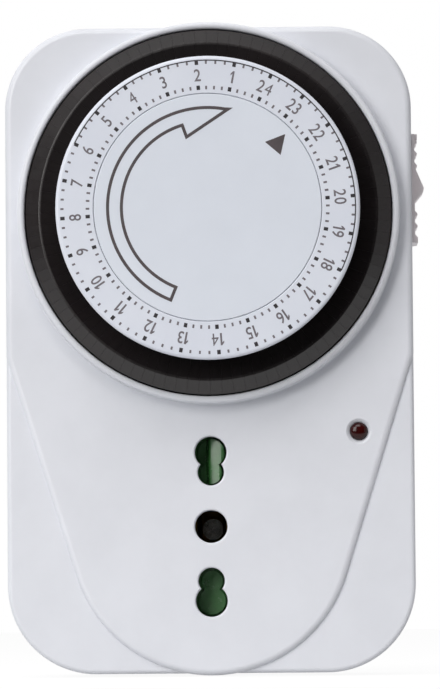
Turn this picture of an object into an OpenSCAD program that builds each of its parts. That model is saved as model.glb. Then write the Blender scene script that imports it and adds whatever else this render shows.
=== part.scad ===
// Plug-in 24 hour timer switch: a wall-plug case with a shuttered three-hole socket, a turning dial with
// 96 captive trippers, a synchronous motor with its wheel train, and a switch worked by the trippers.
//
// Every piece is laid out in a bench frame: x to the right, y up, z from the wall towards the user.
// z = 0 is the face that meets the wall, and x = y = 0 is the axis of the earth pin and earth hole.
// stand() then turns the finished piece upright, with its front towards -Y.

/* [Case] */
// Width of the case
case_w = 71.5; // [66:0.5:84]
// Height of the case below the earth hole
case_down = 25.65; // [24:0.05:40]
// Depth from the wall to the raised face
case_d = 38; // [36:0.5:48]
// Depth of the rear shell
rear_d = 14; // [13:0.5:17]
// Thickness of the side walls
wall = 2; // [1.6:0.1:2.2]
// Thickness of the raised face
face_wall = 2.5; // [2:0.1:3]
// Thickness of the wall against the plug side
back_wall = 2.2; // [1.8:0.1:3]
// Radius of the upper corners
top_r = 14.5; // [8:0.5:16]
// Radius of the lower corners
bottom_r = 15.5; // [8:0.5:17]
// Rounding of the outer edges
edge_r = 0.8; // [0.4:0.1:1]

/* [Raised pad] */
// Height of the pad over the two lower corners
pad_step = 0.9; // [0.4:0.1:1.3]
// Radius of the round lower end of the pad
pad_r = 24.8; // [20:0.2:26]
// Height above the earth hole at which the pad reaches the sides
pad_side_y = 30; // [24:1:40]
// How far the pad stands past the bottom edge
pad_lip = 0.35; // [0.1:0.05:0.6]
// Slope of the pad's edge, measured along the face
pad_edge = 0.4; // [0.2:0.05:0.5]

/* [Dial] */
// Distance from the upper socket hole to the collar round the dial
dial_clear = 5.715; // [5:0.005:12]
// Distance from the side of the case to the ring of trippers
ring_inset = 3.75; // [3.4:0.05:4.2]
// Width of the outer slope of the trippers
ring_slope = 2.5; // [2.1:0.1:3]
// Width of the ring that shows round the dial plate
ring_show = 5.6; // [5.4:0.1:6.2]
// Width of the printed hour ring
hour_band = 6.65; // [6:0.05:8]
// Width of the collar round the trippers
collar_w = 1.25; // [0.9:0.05:1.3]
// How far the collar stands past the top of the case
collar_over = 0.5; // [0:0.1:1]
// Height of the collar over the raised face
collar_rise = 3; // [2:0.1:4]
// Height of the crest of the trippers over the raised face
ridge_rise = 4.5; // [3.8:0.1:5]
// Height of the printed dial plate over the raised face
plate_rise = 12; // [9:0.5:14]
// Thickness of the dial plate
plate_t = 1.5; // [1:0.1:2]
// Clockwise angle of the 24 hour mark from the top
dial_turn = 26; // [0:1:359]

/* [Trippers] */
// Travel of a tripper when it is pushed in
push = 2.5; // [2:0.1:2.6]
// Thickness of a tripper's stem
stem_t = 1; // [0.8:0.05:1.1]
// Radial length of a tripper's stem
stem_len = 4; // [3:0.1:4.2]
// Gap between neighbouring tripper heads
head_gap = 0.17; // [0.12:0.01:0.3]

/* [Wheel train] */
// Thickness of the drive wheel
drive_t = 1.6; // [1:0.1:1.7]
// Radius of the dial post
post_r = 4.1; // [3.4:0.1:4.6]
// Radius of the drive axle
drive_axle_r = 1; // [0.7:0.05:1.2]
// Radius of the idler axle and the motor's shafts
thin_axle_r = 0.8; // [0.6:0.05:1]
// Thickness of the mechanism plate
mech_t = 2; // [1.5:0.1:2.4]

/* [Motor] */
// Radius of the motor
motor_r = 17; // [14:0.5:17.5]
// Depth of the motor can
can_d = 10; // [8:0.5:11]
// Depth of the reduction case
reduction_d = 4; // [3.5:0.1:4.5]
// Radius of the rotor
rotor_r = 6; // [4:0.5:7]

/* [Socket] */
// Distance from the earth hole to the large lobes
large_pitch = 13; // [12.8:0.05:13.3]
// Distance from the earth hole to the small lobes
small_pitch = 9.5; // [9.2:0.05:9.9]
// Radius of the large lobes
large_r = 2.785; // [2.65:0.005:2.9]
// Radius of the small lobes
small_r = 2.3; // [2.1:0.05:2.5]
// Radius of the earth hole
earth_r = 2.85; // [2.7:0.05:3]
// Travel of the shutter
shutter_travel = 6.8; // [6.6:0.1:7.2]

/* [Plug] */
// Distance between neighbouring pins
pin_pitch = 13; // [12.8:0.05:13.2]
// Radius of the pins
pin_r = 2.5; // [2.3:0.05:2.6]
// Length of the pins
pin_len = 19; // [17:0.5:21]
// Length of the insulating sleeves
sleeve_len = 10; // [7:0.5:12]
// Radius of the pins inside the sleeves and the case
core_r = 1.9; // [1.6:0.05:2]

/* [Override slider] */
// Height of the slider's middle above the earth hole
slider_y = 59.6; // [59:0.2:61]
// Length of the slider's thumb plate
slider_h = 19.3; // [18:0.1:22]
// Width of the slider's thumb plate
slider_w = 8; // [7:0.5:10]
// Height of the thumb plate over the side wall
slider_proud = 0.85; // [0.6:0.05:1.5]
// Travel between its two positions
slider_travel = 4; // [3.4:0.1:4.2]

/* [Indicator] */
// Distance from the right side of the case to the lens
lens_in = 9.75; // [9:0.25:12]
// Height of the lens above the earth hole
lens_y = 16.5; // [14:0.5:18]
// Radius of the lens
lens_r = 1.5; // [1.2:0.05:1.7]

/* [Fasteners] */
// Radius of the screw shanks
screw_r = 1.3; // [1.1:0.05:1.5]
// Radius of the screw heads
screw_head_r = 2.6; // [2.3:0.1:2.8]

/* [Hidden] */
group_count = 12;
$fn = 72;

// clearances
run_gap = 0.05;      // shaft turning in its bore, on the radius
move_gap = 0.3;      // between pieces that move past each other
fit_gap = 0.02;      // between pieces that are pushed together
bite = 0.5;          // how far one shape of a piece reaches into the next

// levels of the case, from the wall
low_face = case_d - pad_step;
face_in = case_d - face_wall;
half_w = case_w / 2;
inner_x = half_w - wall;
lens_x = half_w - lens_in;
lip_t = 1;
lip_h = 1.5;
lip_gap = 0.1;

// dial and trippers
tripper_count = 96;
step = 360 / tripper_count;
ring_r = half_w - ring_inset;
ridge_r = ring_r - ring_slope;
plate_r = ring_r - ring_show;
pointer_r = plate_r - hour_band;
ring_gap = 0.25;
opening_r = ring_r + ring_gap;
collar_r = opening_r + collar_w;
dial_y = large_pitch + large_r + dial_clear + collar_r;
case_up = dial_y + collar_r - collar_over;
plate_top = case_d + plate_rise;
plate_low = plate_top - plate_t;
plate_over = 1;
hub_r = plate_r - plate_over;
hub_wall = 1.8;
web_sink = 4.5;
web_t = 2.3;
web_low = case_d - web_sink;
web_top = web_low + web_t;
web_r = ring_r - 0.1;
push_stop = 0.4;
head_low = web_top + push_stop + push;
head_in_r = hub_r + 0.5;
rim_rise = collar_rise - 0.1;
crest_half = 0.15;
stem_inset = 2.3;
stem_in_r = ridge_r - stem_inset;
stem_out_r = stem_in_r + stem_len;
stem_drop = 2.5;
stem_low = web_low - stem_drop;
barb = 0.5;
barb_h = 1;
slot_gap = 0.15;
web_clear = 0.5;

// screws
screw_sink = 3;
screw_head_t = 1.8;
boss_r = 3;
screw_grip = 7;
pilot_len = screw_grip + 1;
top_screw_in = 7.75;
top_screw_drop = 8.7;
low_screw_in = 8.75;
low_screw_rise = 10;
plate_screw_in = 6.75;
plate_screw_rise = 3;
top_screw_x = half_w - top_screw_in;
top_screw_y = case_up - top_screw_drop;
low_screw_x = half_w - low_screw_in;
low_screw_y = low_screw_rise - case_down;
plate_screw_x = half_w - plate_screw_in;
plate_screw_y = dial_y - ring_r + plate_screw_rise;

// mechanism: the plate and, in front of it, the levels of the wheels
mech_sink = 14;
mech_top = case_d - mech_sink;
mech_low = mech_top - mech_t;
mech_margin = 4.5;
mech_bottom_y = plate_screw_y - mech_margin;
idler_low = mech_top + 0.4;
idler_t = 1.4;
wheel_gap = 0.5;
drive_low = idler_low + idler_t + wheel_gap;
drive_top = drive_low + drive_t;
clutch_t = 1.5;
pinion_low = drive_top + clutch_t;
pinion_top = web_low - move_gap;
dial_gear_t = 3.5;
dial_gear_low = web_low - dial_gear_t;
dial_teeth = 72;
drive_teeth = 48;
idler_teeth = 40;
pinion_teeth = 12;
pressure_angle = 20;
gear_play = 0.1;
wheel_addendum = 0.7;
pinion_addendum = 1;
dedendum = 1.2;
// the module is as large as the room inside the tripper stems allows
wheel_room = 2.2;
gear_module = (stem_in_r - barb - wheel_room) / (dial_teeth / 2 + pinion_teeth + pinion_addendum);
function pitch_r(teeth) = gear_module * teeth / 2;
drive_angle = -60;
idler_angle = 180;
motor_angle = 120;
function polar(r, a) = [r * cos(a), r * sin(a)];
drive_at = [0, dial_y] + polar(pitch_r(dial_teeth) + pitch_r(pinion_teeth), drive_angle);
idler_at = drive_at + polar(pitch_r(drive_teeth) + pitch_r(pinion_teeth), idler_angle);
motor_at = idler_at + polar(pitch_r(idler_teeth) + pitch_r(pinion_teeth), motor_angle);
// angle of a follower whose teeth stand in the gaps of a wheel that is itself turned by wheel_phase
function mesh_phase(teeth, wheel_teeth, direction, wheel_phase) =
    direction + 180 + 180 / teeth + (direction - wheel_phase) * wheel_teeth / teeth;
clutch_phase = mesh_phase(pinion_teeth, dial_teeth, drive_angle, 0);
idler_pinion_phase = mesh_phase(pinion_teeth, drive_teeth, idler_angle, 0);
motor_phase = mesh_phase(pinion_teeth, idler_teeth, motor_angle, idler_pinion_phase);
post_flange_t = 4;
hub_low = mech_top + post_flange_t + move_gap;
hub_tube_t = 1.9;
hub_tube_r = post_r + hub_tube_t;
post_top = plate_low - 1.5;
post_bore_r = post_r - 1.55;
stub_len = 8;
stub_gap = 1;

// motor, hung behind the plate
reduction_low = mech_low - reduction_d;
can_low = reduction_low - can_d;
can_t = 0.8;
rotor_low = can_low + 1.5;
rotor_top = reduction_low - 1.6;
bobbin_t = 0.8;
bobbin_r = motor_r - can_t - 0.6;
bobbin_core_r = rotor_r + 1.4;
stator_low = rotor_top + 0.5;

// trip lever and switch
nose_a = 90 - dial_turn - step * round((90 - dial_turn) / step);
nose_r = ridge_r - 0.3;
lever_reach = 17.2;
lever_x = nose_r - lever_reach;
lever_y = dial_y + nose_r * sin(nose_a);
lever_z = mech_top + 2.4;
lever_pin_r = 0.8;
lever_boss_r = 1.7;
arm_low = lever_z - 0.8;
arm_top = lever_z + 0.8;
arm_half = 1.7;
ear_t = 2;
ear_out = arm_half + move_gap + ear_t;
tab_x = stem_out_r + move_gap;
tab_end = inner_x - 1.1;
tab_slope = 0.675;
tab_rise = 2 * arm_half * tab_slope;
plunger_x = lever_x + 6;
plunger_r = 1;
plunger_top = arm_low - move_gap;
switch_x0 = lever_x - 2;
switch_x1 = inner_x - 3.75;
switch_half = 3.2;
switch_d = 10;
switch_low = mech_low - switch_d;
switch_wall = 0.9;
blade_x = lever_x + 1.5;
blade_z = mech_low - 4.5;
blade_t = 0.3;
plunger_low = blade_z + blade_t / 2 + move_gap;
tag_t = 0.8;
contact_drop = 4.2;
contact_low = blade_z - contact_drop;
contact_h = 0.9;
switched_x = blade_x + tag_t / 2;
line_tag_x = switch_x1 - 3.9;
tag_low = switch_low - 3.5;
tag_half = 2;

// slider
finger_top = tab_rise + arm_top + 1.2;
finger_t = 4;
finger_y = lever_y + arm_half + move_gap / tab_slope;
slot_low = arm_top + 0.1;
slot_high = finger_top + move_gap;
slider_z = (arm_top + finger_top) / 2;
flange_top = finger_top + 0.9;
skirt_low = flange_top + move_gap;

// socket
block_t = 19;
block_top = face_in - 4.5;
block_low = block_top - block_t;
block_x0 = -8;
block_y = large_pitch + 6.5;
rail_t = 1.5;
chamber_x = 3.6;
clip_base_low = block_low - 1;
clip_t = 0.6;
clip_half = 3.2;
clip_mouth = block_top - 1.5;
clip_y = (large_pitch + small_pitch) / 2;
clip_reach = 4.2;
clip_room = 0.4;     // between a clip and the walls of its chamber
blade_half = 3.7;
bridge_x0 = 4.4;
bridge_x1 = 7.6;
spring_wall_t = 1.5;
spring_shut = 4.1;   // length of the shutter's spring when the shutter is open
block_x1 = bridge_x1 + shutter_travel + spring_shut + spring_wall_t;
shutter_low = block_top + move_gap;
shutter_top = face_in - move_gap;
blade_top = shutter_low + 1;
ramp_gap = 0.35;     // between the outline of a ramp and that of its holes
spring_wall_x = block_x1 - spring_wall_t;
spring_r = 1.3;
spring_wire = 0.36;
spring_turns = 7;

// plug
sleeve_r = pin_r - 0.02;
rivet_r = 1.4;
rivet_h = 1.4;
pin_tip = 1;
pin_boss_r = 4;
line_bar_low = back_wall + 2;
bar_t = 1;
bar_w = 5;
bar_x0 = -2.8;

function two(n) = n < 10 ? str("0", n) : str(n);
function group_name(k) = str("trippers_", two(2 * k), "_", two(2 * k + 2));

// ---------- shapes that repeat ----------

// turns a piece from the bench frame to its upright place
module stand() rotate([90, 0, 0]) children();

// an extruded outline between two levels
module slab(low, high) translate([0, 0, low]) linear_extrude(high - low) children();

module rod(r, low, high) translate([0, 0, low]) cylinder(r = r, h = high - low);

module tube(outer, inner, low, high) difference() {
    rod(outer, low, high);
    rod(inner, low - 1, high + 1);
}

module box(x0, x1, y0, y1, z0, z1) translate([x0, y0, z0]) cube([x1 - x0, y1 - y0, z1 - z0]);

// an outline drawn in x and z, extruded along y
module y_prism(y0, y1, points)
    translate([0, y1, 0]) rotate([90, 0, 0]) linear_extrude(y1 - y0) polygon(points);

// an outline drawn in y and z, extruded along x
module x_prism(x0, x1, points)
    translate([x0, 0, 0]) rotate([90, 0, 90]) linear_extrude(x1 - x0) polygon(points);

// a round bar from one point to the next, with balls at its bends
module wire(points, r) {
    for (i = [0 : len(points) - 2]) {
        run = points[i + 1] - points[i];
        translate(points[i])
            rotate([0, acos(run[2] / norm(run)), atan2(run[1], run[0])])
                cylinder(r = r, h = norm(run), $fn = 16);
        if (i > 0)
            translate(points[i]) sphere(r = r, $fn = 16);
    }
}

// the case seen from the front, drawn in by inset
module case_outline(inset = 0) {
    w = half_w - inset;
    top = case_up - inset;
    bottom = case_down - inset;
    rt = top_r - inset;
    rb = bottom_r - inset;
    for (s = [-1, 1]) {
        translate([s * (w - rt), top - rt]) circle(rt);
        translate([s * (w - rb), rb - bottom]) circle(rb);
    }
    translate([-w, rb - bottom]) square([2 * w, top - rt + bottom - rb]);
    translate([rt - w, top - rt - 1]) square([2 * (w - rt), rt + 1]);
    translate([rb - w, -bottom]) square([2 * (w - rb), rb + 1]);
}

// the raised pad: the whole upper case, drawn in by straight lines to a round lower end
module pad_outline() {
    centre_y = pad_r - case_down - pad_lip;
    reach = norm([half_w, pad_side_y - centre_y]);
    touch = atan2(pad_side_y - centre_y, half_w) - acos(pad_r / reach);
    tx = pad_r * cos(touch);
    ty = centre_y + pad_r * sin(touch);
    translate([0, centre_y]) circle(pad_r);
    intersection() {
        case_outline();
        polygon([
            [-half_w, pad_side_y], [-tx, ty], [tx, ty], [half_w, pad_side_y],
            [half_w, case_up], [-half_w, case_up]
        ]);
    }
}

// angle from a tooth's middle to its flank at radius r, for an involute tooth
function involute(a) = tan(a) * 180 / PI - a;
function flank(r, base, half) = half + involute(pressure_angle) - involute(acos(min(1, base / r)));

module gear_outline(teeth, addendum, points_per_flank) {
    pitch = pitch_r(teeth);
    base = pitch * cos(pressure_angle);
    root = pitch - dedendum * gear_module;
    tip = pitch + addendum * gear_module;
    start = max(root, base);
    half = 90 / teeth - gear_play / 4 / pitch * 180 / PI;
    rise = [for (i = [0 : points_per_flank - 1]) start + (tip - start) * i / (points_per_flank - 1)];
    up = concat(root < base - 0.01 ? [[root, flank(start, base, half)]] : [],
                [for (r = rise) [r, flank(r, base, half)]]);
    polygon([
        for (k = [0 : teeth - 1])
            for (side = [-1, 1])
                for (i = [0 : len(up) - 1])
                    let (p = side < 0 ? up[i] : up[len(up) - 1 - i])
                        polar(p[0], 360 * k / teeth + side * p[1])
    ]);
}

// a coil spring along x, from x0 to x1
module coil_spring(x0, x1, coil_r, wire_r, turns) {
    sides = 6;
    rings = turns * 14;
    points = [
        for (i = [0 : rings])
            for (s = [0 : sides - 1])
                let (turn = 360 * turns * i / rings,
                     out = coil_r + wire_r * cos(360 * s / sides),
                     along = x0 + wire_r + (x1 - x0 - 2 * wire_r) * i / rings)
                    [along + wire_r * sin(360 * s / sides), out * cos(turn), out * sin(turn)]
    ];
    faces = concat(
        [[for (s = [0 : sides - 1]) s]],
        [for (i = [0 : rings - 1])
            for (s = [0 : sides - 1])
                let (here = i * sides, there = here + sides, after = (s + 1) % sides)
                    [here + s, there + s, there + after, here + after]],
        [[for (s = [sides - 1 : -1 : 0]) rings * sides + s]]
    );
    polyhedron(points, faces);
}

module screw(head_low, end) {
    difference() {
        union() {
            rod(screw_head_r, head_low, head_low + screw_head_t);
            rod(screw_r, head_low + screw_head_t - bite, end);
        }
        for (a = [0, 90])
            rotate(a) box(-1.6, 1.6, -0.3, 0.3, head_low - 1, head_low + 0.9);
    }
}

// ---------- case ----------

// the outline of two overlapping holes, above (s = 1) or below (s = -1) the earth hole
module lobes(s, grow = 0) {
    translate([0, s * large_pitch]) circle(large_r + grow);
    translate([0, s * small_pitch]) circle(small_r + grow);
}

module socket_holes() {
    for (s = [-1, 1])
        slab(face_in - bite, case_d + 1) lobes(s);
    rod(earth_r, face_in - bite, case_d + 1);
}

module screw_places(x, y) for (s = [-1, 1]) translate([s * x, y]) children();

module front_cover() stand() color("whitesmoke") difference() {
    union() {
        difference() {
            union() {
                hull() {
                    slab(rear_d, low_face - edge_r) case_outline($fn = 64);
                    slab(rear_d, low_face) case_outline(edge_r, $fn = 64);
                }
                hull() {
                    slab(low_face - edge_r - bite, case_d - pad_edge) pad_outline($fn = 64);
                    slab(low_face - edge_r - bite, case_d) offset(delta = -pad_edge) pad_outline($fn = 64);
                }
            }
            slab(rear_d - 1, face_in) case_outline(wall);
        }
        translate([0, dial_y]) rotate_extrude() polygon([
            [opening_r - bite, skirt_low], [collar_r, skirt_low], [collar_r, case_d + collar_rise - 0.5],
            [collar_r - 0.4, case_d + collar_rise], [opening_r - bite, case_d + collar_rise]
        ]);
        screw_places(top_screw_x, top_screw_y) rod(boss_r, mech_top, face_in + bite);
        screw_places(low_screw_x, low_screw_y) rod(boss_r, rear_d, face_in + bite);
        screw_places(plate_screw_x, plate_screw_y) rod(boss_r, mech_top, face_in + bite);
        translate([lens_x, lens_y]) rod(lens_r + 2.2, face_in - 7, face_in + bite);
    }
    translate([0, dial_y]) {
        rod(opening_r, web_low - web_clear, case_d + collar_rise + 1);
        rod(stem_out_r + move_gap, stem_low - push - move_gap, face_in);
    }
    socket_holes();
    translate([lens_x, lens_y]) {
        rod(lens_r + 0.1, face_in - 1, case_d + 1);
        rod(lens_r + 1.2, face_in - 8, face_in);
    }
    screw_places(top_screw_x, top_screw_y) rod(screw_r + fit_gap, mech_top - 1, mech_top + pilot_len);
    screw_places(low_screw_x, low_screw_y) rod(screw_r + fit_gap, rear_d - 1, rear_d + pilot_len);
    screw_places(plate_screw_x, plate_screw_y) rod(screw_r + fit_gap, mech_top - 1, mech_top + pilot_len);
    box(inner_x - 1, half_w + 1, finger_y - slider_travel - move_gap, finger_y + finger_t + move_gap,
        slot_low, slot_high);
}

module rear_shell() stand() color("whitesmoke") difference() {
    union() {
        difference() {
            hull() {
                slab(edge_r, rear_d) case_outline($fn = 64);
                slab(0, rear_d) case_outline(edge_r, $fn = 64);
            }
            slab(back_wall, rear_d + 1) case_outline(wall);
        }
        slab(rear_d - 2 * lip_h, rear_d + lip_h) difference() {
            case_outline(wall + lip_gap);
            case_outline(wall + lip_gap + lip_t);
        }
        slab(rear_d - 2 * lip_h, rear_d - lip_h) difference() {
            case_outline(wall - bite);
            case_outline(wall + lip_gap + lip_t);
        }
        screw_places(top_screw_x, top_screw_y) {
            rod(boss_r + 1, bite, rear_d);
            rod(boss_r + move_gap, bite, mech_low);
        }
        screw_places(low_screw_x, low_screw_y) rod(boss_r + 1, bite, rear_d);
        translate([0, pin_pitch]) rod(pin_boss_r, bite, line_bar_low);
        rod(pin_boss_r, bite, clip_base_low);
        translate([0, -pin_pitch]) rod(pin_boss_r, bite, clip_base_low);
    }
    screw_places(top_screw_x, top_screw_y) {
        rod(screw_r + 0.2, -1, mech_low + 1);
        rod(screw_head_r + 0.3, -1, screw_sink);
    }
    screw_places(low_screw_x, low_screw_y) {
        rod(screw_r + 0.2, -1, rear_d + 1);
        rod(screw_head_r + 0.3, -1, screw_sink);
    }
    for (y = [-pin_pitch, 0, pin_pitch])
        translate([0, y]) rod(core_r + fit_gap, -1, clip_base_low + 1);
}

module case_screws() stand() color("silver") {
    screw_places(top_screw_x, top_screw_y) screw(screw_sink - screw_head_t, mech_top + screw_grip);
    screw_places(low_screw_x, low_screw_y) screw(screw_sink - screw_head_t, rear_d + screw_grip);
}

module plate_screws() stand() color("silver")
    screw_places(plate_screw_x, plate_screw_y) screw(mech_low - screw_head_t, mech_top + screw_grip);

// ---------- dial ----------

module dial_wheel() stand() color([0.1, 0.1, 0.1]) translate([0, dial_y]) difference() {
    union() {
        rod(hub_tube_r, hub_low, post_top - move_gap);
        slab(dial_gear_low, web_low + bite) gear_outline(dial_teeth, wheel_addendum, 3);
        rod(web_r, web_low, web_top);
        tube(hub_r, hub_r - hub_wall, web_top - bite, plate_low);
    }
    rod(post_r + run_gap, hub_low - 1, post_top + 1);
    for (i = [0 : tripper_count - 1])
        rotate(90 - dial_turn + (i + 0.5) * step)
            box(stem_in_r - slot_gap, stem_out_r + slot_gap, -stem_t / 2 - slot_gap, stem_t / 2 + slot_gap,
                web_low - 1, web_top + 1);
}

module hour_ring() stand() color("white") translate([0, dial_y]) rotate_extrude() polygon([
    [pointer_r + 0.2, plate_low], [plate_r, plate_low], [plate_r, plate_top - 0.35],
    [plate_r - 0.35, plate_top], [pointer_r + 0.2, plate_top]
]);

module pointer_disc() stand() color("white") translate([0, dial_y]) {
    rod(pointer_r, plate_low + 0.1, plate_top);
    rod(hub_tube_r, post_top, plate_low + bite);
    rod(post_bore_r - fit_gap, post_top - stub_len, post_top + bite);
}

module dial_post() stand() color("ivory") translate([0, dial_y]) difference() {
    union() {
        rod(post_r - 0.2, mech_low, mech_top + bite);
        rod(post_r + 1.9, mech_top, mech_top + post_flange_t);
        rod(post_r, mech_top, post_top);
    }
    rod(post_bore_r, post_top - stub_len - stub_gap, post_top + 1);
}

// one tripper, lying along +x from the dial's axis: a bevelled head over a flat stem, whose barb keeps it
// from coming out of the wheel
module tripper() {
    inner_half = head_in_r * sin(step / 2) - head_gap / 2;
    outer_half = ring_r * sin(step / 2) - head_gap / 2;
    intersection() {
        y_prism(-outer_half, outer_half, [
            [head_in_r, head_low], [ring_r, head_low], [ring_r, case_d + rim_rise],
            [ridge_r + crest_half, case_d + ridge_rise], [ridge_r - crest_half, case_d + ridge_rise],
            [head_in_r, case_d + rim_rise]
        ]);
        slab(head_low - 1, case_d + ridge_rise + 1) polygon([
            [head_in_r, -inner_half], [ring_r, -outer_half], [ring_r, outer_half], [head_in_r, inner_half]
        ]);
    }
    barb_top = web_low - fit_gap;
    y_prism(-stem_t / 2, stem_t / 2, [
        [stem_in_r, stem_low], [stem_out_r, stem_low],
        [stem_out_r, head_low + bite], [stem_in_r, head_low + bite],
        [stem_in_r, barb_top], [stem_in_r - barb, barb_top], [stem_in_r, barb_top - barb_h]
    ]);
}

module tripper_group(k) stand() color([0.12, 0.12, 0.12]) translate([0, dial_y])
    for (i = [0 : tripper_count / group_count - 1])
        rotate(90 - dial_turn + (k * tripper_count / group_count + i + 0.5) * step)
            tripper();

// ---------- wheel train ----------

// places a shape that is drawn along the lever's pin
module lever_pivot() translate([lever_x, lever_y, lever_z]) rotate([90, 0, 0]) children();

module mechanism_plate() stand() color("wheat") {
    difference() {
        slab(mech_low, mech_top) intersection() {
            case_outline(wall + 0.4);
            translate([-half_w, mech_bottom_y]) square([case_w, case_up + case_down]);
        }
        screw_places(top_screw_x, top_screw_y) rod(screw_r + 0.2, mech_low - 1, mech_top + 1);
        screw_places(plate_screw_x, plate_screw_y) rod(screw_r + 0.2, mech_low - 1, mech_top + 1);
        translate([0, dial_y]) rod(post_r - 0.2 + fit_gap, mech_low - 1, mech_top + 1);
        translate(drive_at) rod(drive_axle_r + fit_gap, mech_low - 1, mech_top + 1);
        translate(idler_at) rod(thin_axle_r + fit_gap, mech_low - 1, mech_top + 1);
        translate(motor_at) rod(thin_axle_r + 1, mech_low - 1, mech_top + 1);
        box(plunger_x - 2.2, half_w, lever_y - arm_half - 0.5, lever_y + arm_half + 0.5,
            mech_low - 1, mech_top + 1);
    }
    for (s = [-1, 1])
        difference() {
            box(lever_x - 2, lever_x + 2, lever_y + s * (ear_out - ear_t / 2) - ear_t / 2,
                lever_y + s * (ear_out - ear_t / 2) + ear_t / 2, mech_top - bite, lever_z + 2);
            lever_pivot() rod(lever_pin_r + fit_gap, -ear_out - 1, ear_out + 1);
        }
}

module drive_axle() stand() color("silver") translate(drive_at)
    rod(drive_axle_r, mech_low, pinion_top);

module idler_axle() stand() color("silver") translate(idler_at)
    rod(thin_axle_r, mech_low, drive_top + 0.6);

module clutch_pinion() stand() color("gold") translate(drive_at) difference() {
    slab(pinion_low, pinion_top) rotate(clutch_phase) gear_outline(pinion_teeth, pinion_addendum, 4);
    rod(drive_axle_r + run_gap, pinion_low - 1, pinion_top + 1);
}

module clutch_spring() stand() color("silver") translate(drive_at)
    tube(drive_axle_r + 2.2, drive_axle_r + run_gap, drive_top, pinion_low - 0.2);

module drive_wheel() stand() color("white") translate(drive_at) difference() {
    union() {
        slab(drive_low, drive_top) gear_outline(drive_teeth, wheel_addendum, 3);
        rod(drive_axle_r + 1.2, mech_top + 0.2, drive_low + bite);
    }
    rod(drive_axle_r + run_gap, mech_top - 1, drive_top + 1);
}

module idler_wheel() stand() color("moccasin") translate(idler_at) rotate(idler_pinion_phase) difference() {
    union() {
        slab(idler_low, idler_low + idler_t) gear_outline(idler_teeth, wheel_addendum, 3);
        slab(idler_low + idler_t - bite, drive_top + 0.2) gear_outline(pinion_teeth, pinion_addendum, 4);
    }
    rod(thin_axle_r + run_gap, idler_low - 1, drive_top + 1);
}

module motor_pinion() stand() color("gold") translate(motor_at) {
    slab(idler_low, idler_low + idler_t + 0.3) rotate(motor_phase)
        gear_outline(pinion_teeth, pinion_addendum, 4);
    rod(thin_axle_r, reduction_low + 0.5, idler_low + bite);
}

// ---------- motor ----------

module reduction_case() stand() color("dimgray") translate(motor_at) difference() {
    rod(motor_r, reduction_low, mech_low);
    rod(motor_r - 1, reduction_low - 1, mech_low - 1);
    rod(thin_axle_r + run_gap, mech_low - 2, mech_low + 1);
}

module motor_can() stand() color("silver") translate(motor_at) difference() {
    rod(motor_r, can_low, reduction_low);
    rod(motor_r - can_t, can_low + can_t, reduction_low + 1);
    rod(thin_axle_r + run_gap, can_low - 1, can_low + can_t + 1);
}

module stator_plate() stand() color("gray") translate(motor_at)
    tube(motor_r - can_t - 0.1, thin_axle_r + run_gap, stator_low, reduction_low);

module coil_bobbin() stand() color("ivory") translate(motor_at) {
    tube(bobbin_core_r, rotor_r + 0.5, can_low + can_t, stator_low);
    tube(bobbin_r, rotor_r + 0.5, can_low + can_t, can_low + can_t + bobbin_t);
    tube(bobbin_r, rotor_r + 0.5, stator_low - bobbin_t, stator_low);
}

module coil_winding() stand() color("peru") translate(motor_at)
    tube(bobbin_r - 0.6, bobbin_core_r, can_low + can_t + bobbin_t, stator_low - bobbin_t);

module rotor_magnet() stand() color("darkslategray") translate(motor_at)
    tube(rotor_r, thin_axle_r, rotor_low, rotor_top);

module rotor_shaft() stand() color("silver") translate(motor_at)
    rod(thin_axle_r, can_low + 0.1, reduction_low);

// ---------- switch ----------

module trip_lever() stand() color("tan") difference() {
    union() {
        box(lever_x, tab_end, lever_y - arm_half, lever_y + arm_half, arm_low, arm_top);
        lever_pivot() rod(lever_boss_r, -arm_half, arm_half);
        translate([0, dial_y]) rotate(nose_a)
            box(nose_r - 0.8, nose_r + 0.8, -0.2, 0.2, arm_top - bite, stem_low - move_gap);
        x_prism(tab_x, tab_end, [
            [lever_y - arm_half, arm_top - bite], [lever_y + arm_half, arm_top - bite],
            [lever_y + arm_half, arm_top], [lever_y - arm_half, arm_top + tab_rise]
        ]);
    }
    lever_pivot() rod(lever_pin_r + run_gap, -ear_out, ear_out);
}

module lever_pin() stand() color("silver") lever_pivot() rod(lever_pin_r, -ear_out, ear_out);

module switch_case() stand() color([0.15, 0.15, 0.17]) difference() {
    box(switch_x0, switch_x1, lever_y - switch_half, lever_y + switch_half, switch_low, mech_low);
    box(switch_x0 + switch_wall, switch_x1 - switch_wall,
        lever_y - switch_half - 1, lever_y + switch_half - switch_wall,
        switch_low + switch_wall, mech_low - 2);
    translate([plunger_x, lever_y]) rod(plunger_r + run_gap, mech_low - 3, mech_low + 1);
    for (x = [switched_x - tag_t, line_tag_x])
        box(x - fit_gap, x + tag_t + fit_gap, lever_y - tag_half - fit_gap, lever_y + tag_half + fit_gap,
            switch_low - 1, switch_low + switch_wall + 1);
}

// closes the open side of the switch case
module switch_lid() stand() color([0.25, 0.25, 0.28])
    box(switch_x0 + switch_wall + 0.1, switch_x1 - switch_wall - 0.1,
        lever_y - switch_half, lever_y - switch_half + 0.8,
        switch_low + switch_wall + 0.1, mech_low - 2.1);

module switch_plunger() stand() color("firebrick") translate([plunger_x, lever_y])
    rod(plunger_r, plunger_low, plunger_top);

module switch_blade() stand() color("darkkhaki") {
    box(blade_x + 0.6, line_tag_x + tag_t, lever_y - 1.2, lever_y + 1.2,
        blade_z - blade_t / 2, blade_z + blade_t / 2);
    translate([blade_x, lever_y, blade_z]) rotate([90, 0, 0])
        tube(0.7, 0.35, -1.2, 1.2);
    translate([line_tag_x - 0.4, lever_y]) rod(1, blade_z - 0.7, blade_z);
}

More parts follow.
